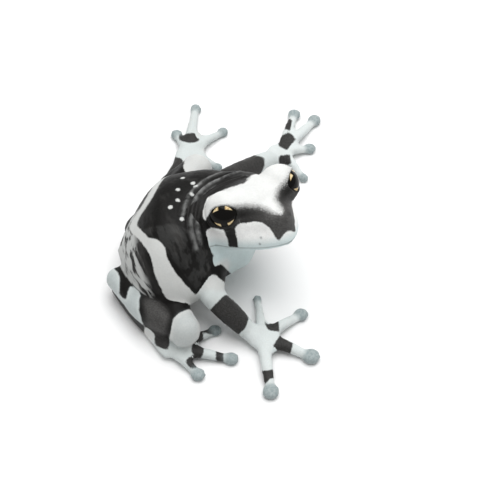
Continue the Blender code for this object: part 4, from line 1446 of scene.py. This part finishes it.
def grain_tree(material):
    """Geometry Nodes tree that raises granules on a surface."""
    tree = bpy.data.node_groups.new("skin_grain", "GeometryNodeTree")
    face = tree.interface
    face.new_socket("Geometry", in_out="INPUT", socket_type="NodeSocketGeometry")
    for name, value in GRAIN_INPUTS.items():
        face.new_socket(name, in_out="INPUT", socket_type="NodeSocketFloat").default_value = value
    face.new_socket("Geometry", in_out="OUTPUT", socket_type="NodeSocketGeometry")
    wires = Wires(tree)
    sizes = wires.node("NodeGroupInput").outputs
    place = wires.node("GeometryNodeInputPosition").outputs[0]
    cells = wires.node("ShaderNodeTexVoronoi", {"feature": "SMOOTH_F1"}, Vector=place, Smoothness=0.6,
                       Scale=wires.math("DIVIDE", 1.0, sizes["Granule Size"]))
    waves = wires.node("ShaderNodeTexNoise", Vector=place, Detail=3.0,
                       Scale=wires.math("DIVIDE", 1.0, sizes["Wrinkle Size"]))

    def lifted(pattern, middle, height, sign):
        """A pattern turned into a height."""
        tall = wires.math("MULTIPLY", wires.math("SUBTRACT", pattern, middle), sizes[height])
        return wires.math("MULTIPLY", tall, sign)

    total = wires.math("ADD", lifted(cells.outputs["Distance"], 0.45, "Granule Height", -2.0),
                       lifted(waves.outputs["Fac"], 0.5, "Wrinkle Height", 2.0))
    calm = wires.node("GeometryNodeInputNamedAttribute", {"data_type": "FLOAT"}, Name="grain")
    normal = wires.node("GeometryNodeInputNormal").outputs[0]
    lift = wires.math("MULTIPLY", total, calm.outputs["Attribute"])
    offset = wires.vector("SCALE", _0=normal, Scale=lift)
    move = wires.node("GeometryNodeSetPosition", Geometry=sizes["Geometry"], Offset=offset.outputs[0])
    real = wires.node("GeometryNodeRealizeInstances", _0=move.outputs[0])
    dressed = wires.node("GeometryNodeSetMaterial", Geometry=real.outputs[0], Material=material)
    tree.links.new(dressed.outputs[0], wires.node("NodeGroupOutput").inputs[0])
    return tree


# %% [markdown]
# ## Materials
#
# The skin's material turns the dark number into an edge, wobbles that edge a little with noise,
# and mixes a warm black with a cool white. Its sheen is soft, because a moist frog shines only
# in broad, dull highlights. The mottling is a shader node group, because the skin and the
# iris both use it, each with its own values.

# %% Helpers for the finishes
def mottle_group():
    """Soft blotches from noise, between two thresholds."""
    tree = bpy.data.node_groups.new("mottle", "ShaderNodeTree")
    face = tree.interface
    face.new_socket("Vector", in_out="INPUT", socket_type="NodeSocketVector")
    for name, value in (("Scale", 600.0), ("Detail", 4.0), ("Low", 0.4), ("High", 0.6)):
        face.new_socket(name, in_out="INPUT", socket_type="NodeSocketFloat").default_value = value
    face.new_socket("Mask", in_out="OUTPUT", socket_type="NodeSocketFloat")
    wires = Wires(tree)
    start = wires.node("NodeGroupInput")
    end = wires.node("NodeGroupOutput")
    noise = wires.node("ShaderNodeTexNoise", Vector=start.outputs["Vector"], Scale=start.outputs["Scale"],
                       Detail=start.outputs["Detail"])
    spread = wires.node("ShaderNodeMapRange", {"interpolation_type": "SMOOTHSTEP"},
                        Value=noise.outputs["Fac"],
                        From_Min=start.outputs["Low"], From_Max=start.outputs["High"])
    tree.links.new(spread.outputs["Result"], end.inputs["Mask"])
    return tree


MOTTLE = mottle_group()


def mottle(wires, vector, scale, low, high, detail=4.0):
    """The mottle group placed in a material."""
    made = wires.tree.nodes.new("ShaderNodeGroup")
    made.node_tree = MOTTLE
    wires.tree.links.new(vector, made.inputs["Vector"])
    for name, value in (("Scale", scale), ("Detail", detail), ("Low", low), ("High", high)):
        made.inputs[name].default_value = value
    return made.outputs["Mask"]


def new_material(name):
    """An empty node material with its shader and output."""
    material = bpy.data.materials.new(name)
    material.use_nodes = True
    tree = material.node_tree
    tree.nodes.clear()
    shader = tree.nodes.new("ShaderNodeBsdfPrincipled")
    output = tree.nodes.new("ShaderNodeOutputMaterial")
    tree.links.new(shader.outputs[0], output.inputs["Surface"])
    return material, shader, Wires(tree)


# %% Skin material
BLACK = (0.0050, 0.0046, 0.0042, 1.0)
CHARCOAL = (0.055, 0.053, 0.050, 1.0)
ASH = (0.46, 0.47, 0.46, 1.0)
MILK = (0.60, 0.61, 0.595, 1.0)
CHALK = (0.90, 0.905, 0.89, 1.0)
TEAL_MILK = (0.60, 0.71, 0.715, 1.0)
PAD_AND_KNEE_SHADE_GREY = (0.27, 0.32, 0.325, 1.0)
SMOKE_GREY = (0.095, 0.093, 0.09, 1.0)
FOLD_HIGHLIGHT_GREY = (0.36, 0.365, 0.36, 1.0)
CLOUD_GREY = (0.45, 0.46, 0.45, 1.0)
FLECK_GREY = (0.40, 0.41, 0.40, 1.0)
MOUTH_SHADE_AND_SPECK_GREY = (0.10, 0.115, 0.115, 1.0)
STREAK_WAY = (-0.77, -0.52, -0.37)


def stretched(wires, place, way, share):
    """Places squeezed along one direction, so that a pattern on them runs that way."""
    dot = wires.vector("DOT_PRODUCT", _0=place, _1=way).outputs["Value"]
    line = wires.vector("SCALE", _0=way, Scale=wires.math("MULTIPLY", dot, share))
    return wires.vector("SUBTRACT", _0=place, _1=line.outputs[0]).outputs[0]


def skin_material():
    """Black and milk skin with soft sheen."""
    material, shader, wires = new_material("frog_skin")
    place = wires.node("ShaderNodeTexCoord").outputs["Object"]
    wobble = wires.math("SUBTRACT", mottle(wires, place, 900.0, 0.2, 0.8), 0.5)
    stipple = wires.math("SUBTRACT", mottle(wires, place, 5200.0, 0.2, 0.8, 2.0), 0.5)
    rough_edge = wires.math("MULTIPLY_ADD", wobble, 0.16, wires.math("MULTIPLY", stipple, 0.14))
    edge = wires.math("ADD", wires.read("dark"), rough_edge)
    soft = wires.read("soft")
    edge = wires.math("ADD", edge, wires.math("MULTIPLY", wires.math("MULTIPLY", stipple, 0.6), soft))
    sharp = wires.math("MULTIPLY_ADD", soft, -3.75, 4.5)
    dark = wires.math("MULTIPLY_ADD", edge, sharp, 0.5, clamp=True)
    streaks = stretched(wires, place, STREAK_WAY, 0.72)
    veins = mottle(wires, streaks, 900.0, 0.39, 0.53, 5.0)
    smoke = wires.read("smoke")
    marble = wires.read("marble")
    thin = mottle(wires, streaks, 520.0, 0.50, 0.78, 5.0)
    fine = mottle(wires, place, 4200.0, 0.30, 0.72, 2.0)
    thinned = wires.math("MULTIPLY_ADD", marble, 1.1, 0.1)
    black = wires.mix(wires.math("MULTIPLY", thin, thinned, clamp=True), BLACK, CHARCOAL)
    grey = wires.math("MULTIPLY", smoke, wires.math("MULTIPLY_ADD", fine, 0.45, 0.55), clamp=True)
    black = wires.mix(grey, black, SMOKE_GREY)
    strong = wires.math("MULTIPLY_ADD", marble, 1.6, -0.6, clamp=True)
    black = wires.mix(wires.math("MULTIPLY", veins, strong, clamp=True), black, ASH)
    # Painted highlight: grey sheen on the tops of the nape's folds, broken up by noise.
    patchy = mottle(wires, place, 700.0, 0.25, 0.65)
    black = wires.mix(wires.math("MULTIPLY", wires.read("fold_highlight"), patchy), black, FOLD_HIGHLIGHT_GREY)
    cloud = wires.math("MULTIPLY", mottle(wires, place, 420.0, 0.3, 0.8), 0.16)
    # Pale skin: its own whiteness, with painted shade on the top of the head, the crown and the brows.
    milk = wires.mix(wires.read("chalk_and_shade"), MILK, CHALK)
    milk = wires.mix(wires.read("teal"), milk, TEAL_MILK)
    milk = wires.mix(cloud, milk, CLOUD_GREY)
    milk = wires.mix(wires.math("MULTIPLY", fine, 0.16), milk, FLECK_GREY)
    colour = wires.mix(dark, milk, black)
    speckle = wires.math("MULTIPLY_ADD", mottle(wires, place, 2600.0, 0.35, 0.65), 0.25, 0.75)
    # Pad grey: the toe pads' own colour, and a painted shade on the near knee.
    colour = wires.mix(wires.math("MULTIPLY", wires.read("pad"), speckle), colour, PAD_AND_KNEE_SHADE_GREY)
    # Painted shade along the mouth's groove, and two dark specks on the lip.
    colour = wires.mix(wires.math("MULTIPLY", wires.read("mouth_shade_and_specks"), 0.6), colour, MOUTH_SHADE_AND_SPECK_GREY)
    wires.tree.links.new(colour, shader.inputs["Base Color"])
    rough = wires.math("MULTIPLY_ADD", mottle(wires, place, 1500.0, 0.2, 0.8), 0.14, 0.42)
    wires.tree.links.new(rough, shader.inputs["Roughness"])
    shader.inputs["Specular IOR Level"].default_value = 0.13
    shader.inputs["Subsurface Weight"].default_value = 0.10
    shader.inputs["Subsurface Radius"].default_value = (1.0, 0.9, 0.8)
    shader.inputs["Subsurface Scale"].default_value = 0.0005
    cells = wires.node("ShaderNodeTexVoronoi", {"feature": "SMOOTH_F1"}, Vector=place, Scale=3600.0)
    bump = wires.node("ShaderNodeBump", Height=cells.outputs["Distance"], Strength=0.35, Distance=0.00006)
    wires.tree.links.new(bump.outputs[0], shader.inputs["Normal"])
    return material


skin_finish = skin_material()

# %% Grow the grain on the skin
grain = np.full(len(points), 1.0)
grain[on_head] = 0.55
grain *= 1.0 - 0.75 * teal * (words == "head")
for sign in (-1.0, 1.0):
    grain *= ramp(lid_oval(eye_places(points, sign), sign), 1.0, 1.4)
keep_values(frog.data, {"grain": grain})
relief = frog.modifiers.new("grain", "NODES")
relief.node_group = grain_tree(skin_finish)
frog_mesh = evaluated(frog)
frog.modifiers.clear()
frog.data = frog_mesh
frog.data.name = "frog_skin"
print("skin material on", len(frog.data.vertices), "points")

# %% [markdown]
# ## The eye's finish
#
# The pupil is a level black oval. Round it the iris shows only as four gold pieces, because a
# black cross runs through it, which is the mark of this frog. The surface is wet, so it is
# smooth, but its shine is kept low, because the photograph shows no bright spot on the eye.

# %% Eye material
PUPIL_HALF = (2.20, 1.26)
IRIS_RADIUS = 1.92
GOLD_DARK = (0.50, 0.33, 0.13, 1.0)
GOLD_PALE = (0.80, 0.66, 0.40, 1.0)
EYE_BLACK = (0.004, 0.0035, 0.003, 1.0)


def eye_material():
    """Black pupil and cross with gold pieces of iris."""
    material, shader, wires = new_material("frog_eye")
    across, rise = wires.read("across"), wires.read("rise")
    radius = wires.math("SQRT", wires.math("ADD", wires.math("MULTIPLY", across, across),
                                           wires.math("MULTIPLY", rise, rise)))
    wide = wires.math("DIVIDE", across, PUPIL_HALF[0])
    tall = wires.math("DIVIDE", rise, PUPIL_HALF[1])
    oval = wires.math("SQRT", wires.math("ADD", wires.math("MULTIPLY", wide, wide),
                                         wires.math("MULTIPLY", tall, tall)))
    outside = wires.math("MULTIPLY_ADD", oval, 14.0, -14.0, clamp=True)
    inside = wires.math("MULTIPLY_ADD", radius, -9.0, IRIS_RADIUS * 9.0 + 0.5, clamp=True)
    arm_up = wires.math("MULTIPLY_ADD", wires.math("ABSOLUTE", across), 7.0, -3.9, clamp=True)
    arm_level = wires.math("MULTIPLY_ADD", wires.math("ABSOLUTE", rise), 7.0, -4.2, clamp=True)
    gold_mask = wires.math("MULTIPLY", wires.math("MULTIPLY", outside, inside),
                           wires.math("MULTIPLY", arm_up, arm_level))
    place = wires.node("ShaderNodeTexCoord").outputs["Object"]
    flecks = mottle(wires, place, 3600.0, 0.35, 0.6, 3.0)
    gold = wires.mix(flecks, GOLD_DARK, GOLD_PALE)
    colour = wires.mix(gold_mask, EYE_BLACK, gold)
    wires.tree.links.new(colour, shader.inputs["Base Color"])
    wires.tree.links.new(wires.math("MULTIPLY_ADD", gold_mask, 0.15, 0.12), shader.inputs["Roughness"])
    shader.inputs["Specular IOR Level"].default_value = 0.12
    return material


eye_finish = eye_material()
for eye in eyes.values():
    eye.data.materials.append(eye_finish)
print("eye finish placed on", len(eyes), "eyes")

# %% [markdown]
# ## Floor and light
#
# The floor is a wide pale disc, large enough that its edge never shows. One broad soft lamp
# hangs over the frog and a pale world fills the rest, so that the shadow is faint.

# %% Floor
FLOOR_PALE = (0.90, 0.90, 0.90, 1.0)
FLOOR_PALER = (0.92, 0.92, 0.92, 1.0)
FLOOR_RADIUS = 2.0
FLOOR_DROP = 0.00002


def floor_material():
    """Matt white sweep with a trace of unevenness."""
    material, shader, wires = new_material("studio_floor")
    place = wires.node("ShaderNodeTexCoord").outputs["Object"]
    colour = wires.mix(mottle(wires, place, 30.0, 0.3, 0.7), FLOOR_PALE, FLOOR_PALER)
    wires.tree.links.new(colour, shader.inputs["Base Color"])
    shader.inputs["Roughness"].default_value = 0.85
    shader.inputs["Specular IOR Level"].default_value = 0.1
    return material


def build_floor():
    """A flat disc at floor level."""
    shape = bmesh.new()
    bmesh.ops.create_circle(shape, cap_ends=True, segments=96, radius=FLOOR_RADIUS)
    shape.transform(Matrix.Translation((0.0, 0.0, -FLOOR_DROP)))
    mesh = bpy.data.meshes.new("studio_floor")
    shape.to_mesh(mesh)
    shape.free()
    mesh.materials.append(floor_material())
    thing = in_scene("studio_floor", mesh)
    thing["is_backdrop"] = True


build_floor()


# %% Lights
def soft_lamp(name, place, target, size, power):
    """A square soft light that looks at a place."""
    data = bpy.data.lights.new(name, "AREA")
    data.size = size
    data.energy = power
    thing = in_scene(name, data)
    place, target = Vector(place), Vector(target)
    turn = (target - place).to_track_quat("-Z", "Y").to_matrix().to_4x4()
    thing.matrix_world = Matrix.Translation(place) @ turn
    return thing


soft_lamp("overhead", (0.14, -0.05, 0.60), (0.0, 0.0, 0.0), 0.70, 4.6)
world = bpy.data.worlds.new("studio")
world.use_nodes = True
world.node_tree.nodes["Background"].inputs["Color"].default_value = (1.0, 1.0, 1.0, 1.0)
world.node_tree.nodes["Background"].inputs["Strength"].default_value = 0.48
bpy.context.scene.world = world
bpy.context.scene.view_settings.view_transform = "Standard"
print("studio ready")

# %% [markdown]
# ## The pieces on one body
#
# The skin stands for every node of flesh, and each eye for its own node. All ride on the one
# body, because the model is still.

# %% Pieces and sizes
flesh = sorted(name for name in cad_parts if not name.startswith("eye_"))
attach(frog, "root")
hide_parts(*flesh)
for side, eye in eyes.items():
    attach(eye, "root")
    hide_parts("eye_" + side)
low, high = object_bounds()
sizes = {
    "cad": [list(CAD_LOW), list(CAD_HIGH)],
    "visual": [list(low), list(high)],
}
for key, (bottom, top) in sizes.items():
    print(key, [round(value * 1000, 2) for value in bottom], [round(value * 1000, 2) for value in top])
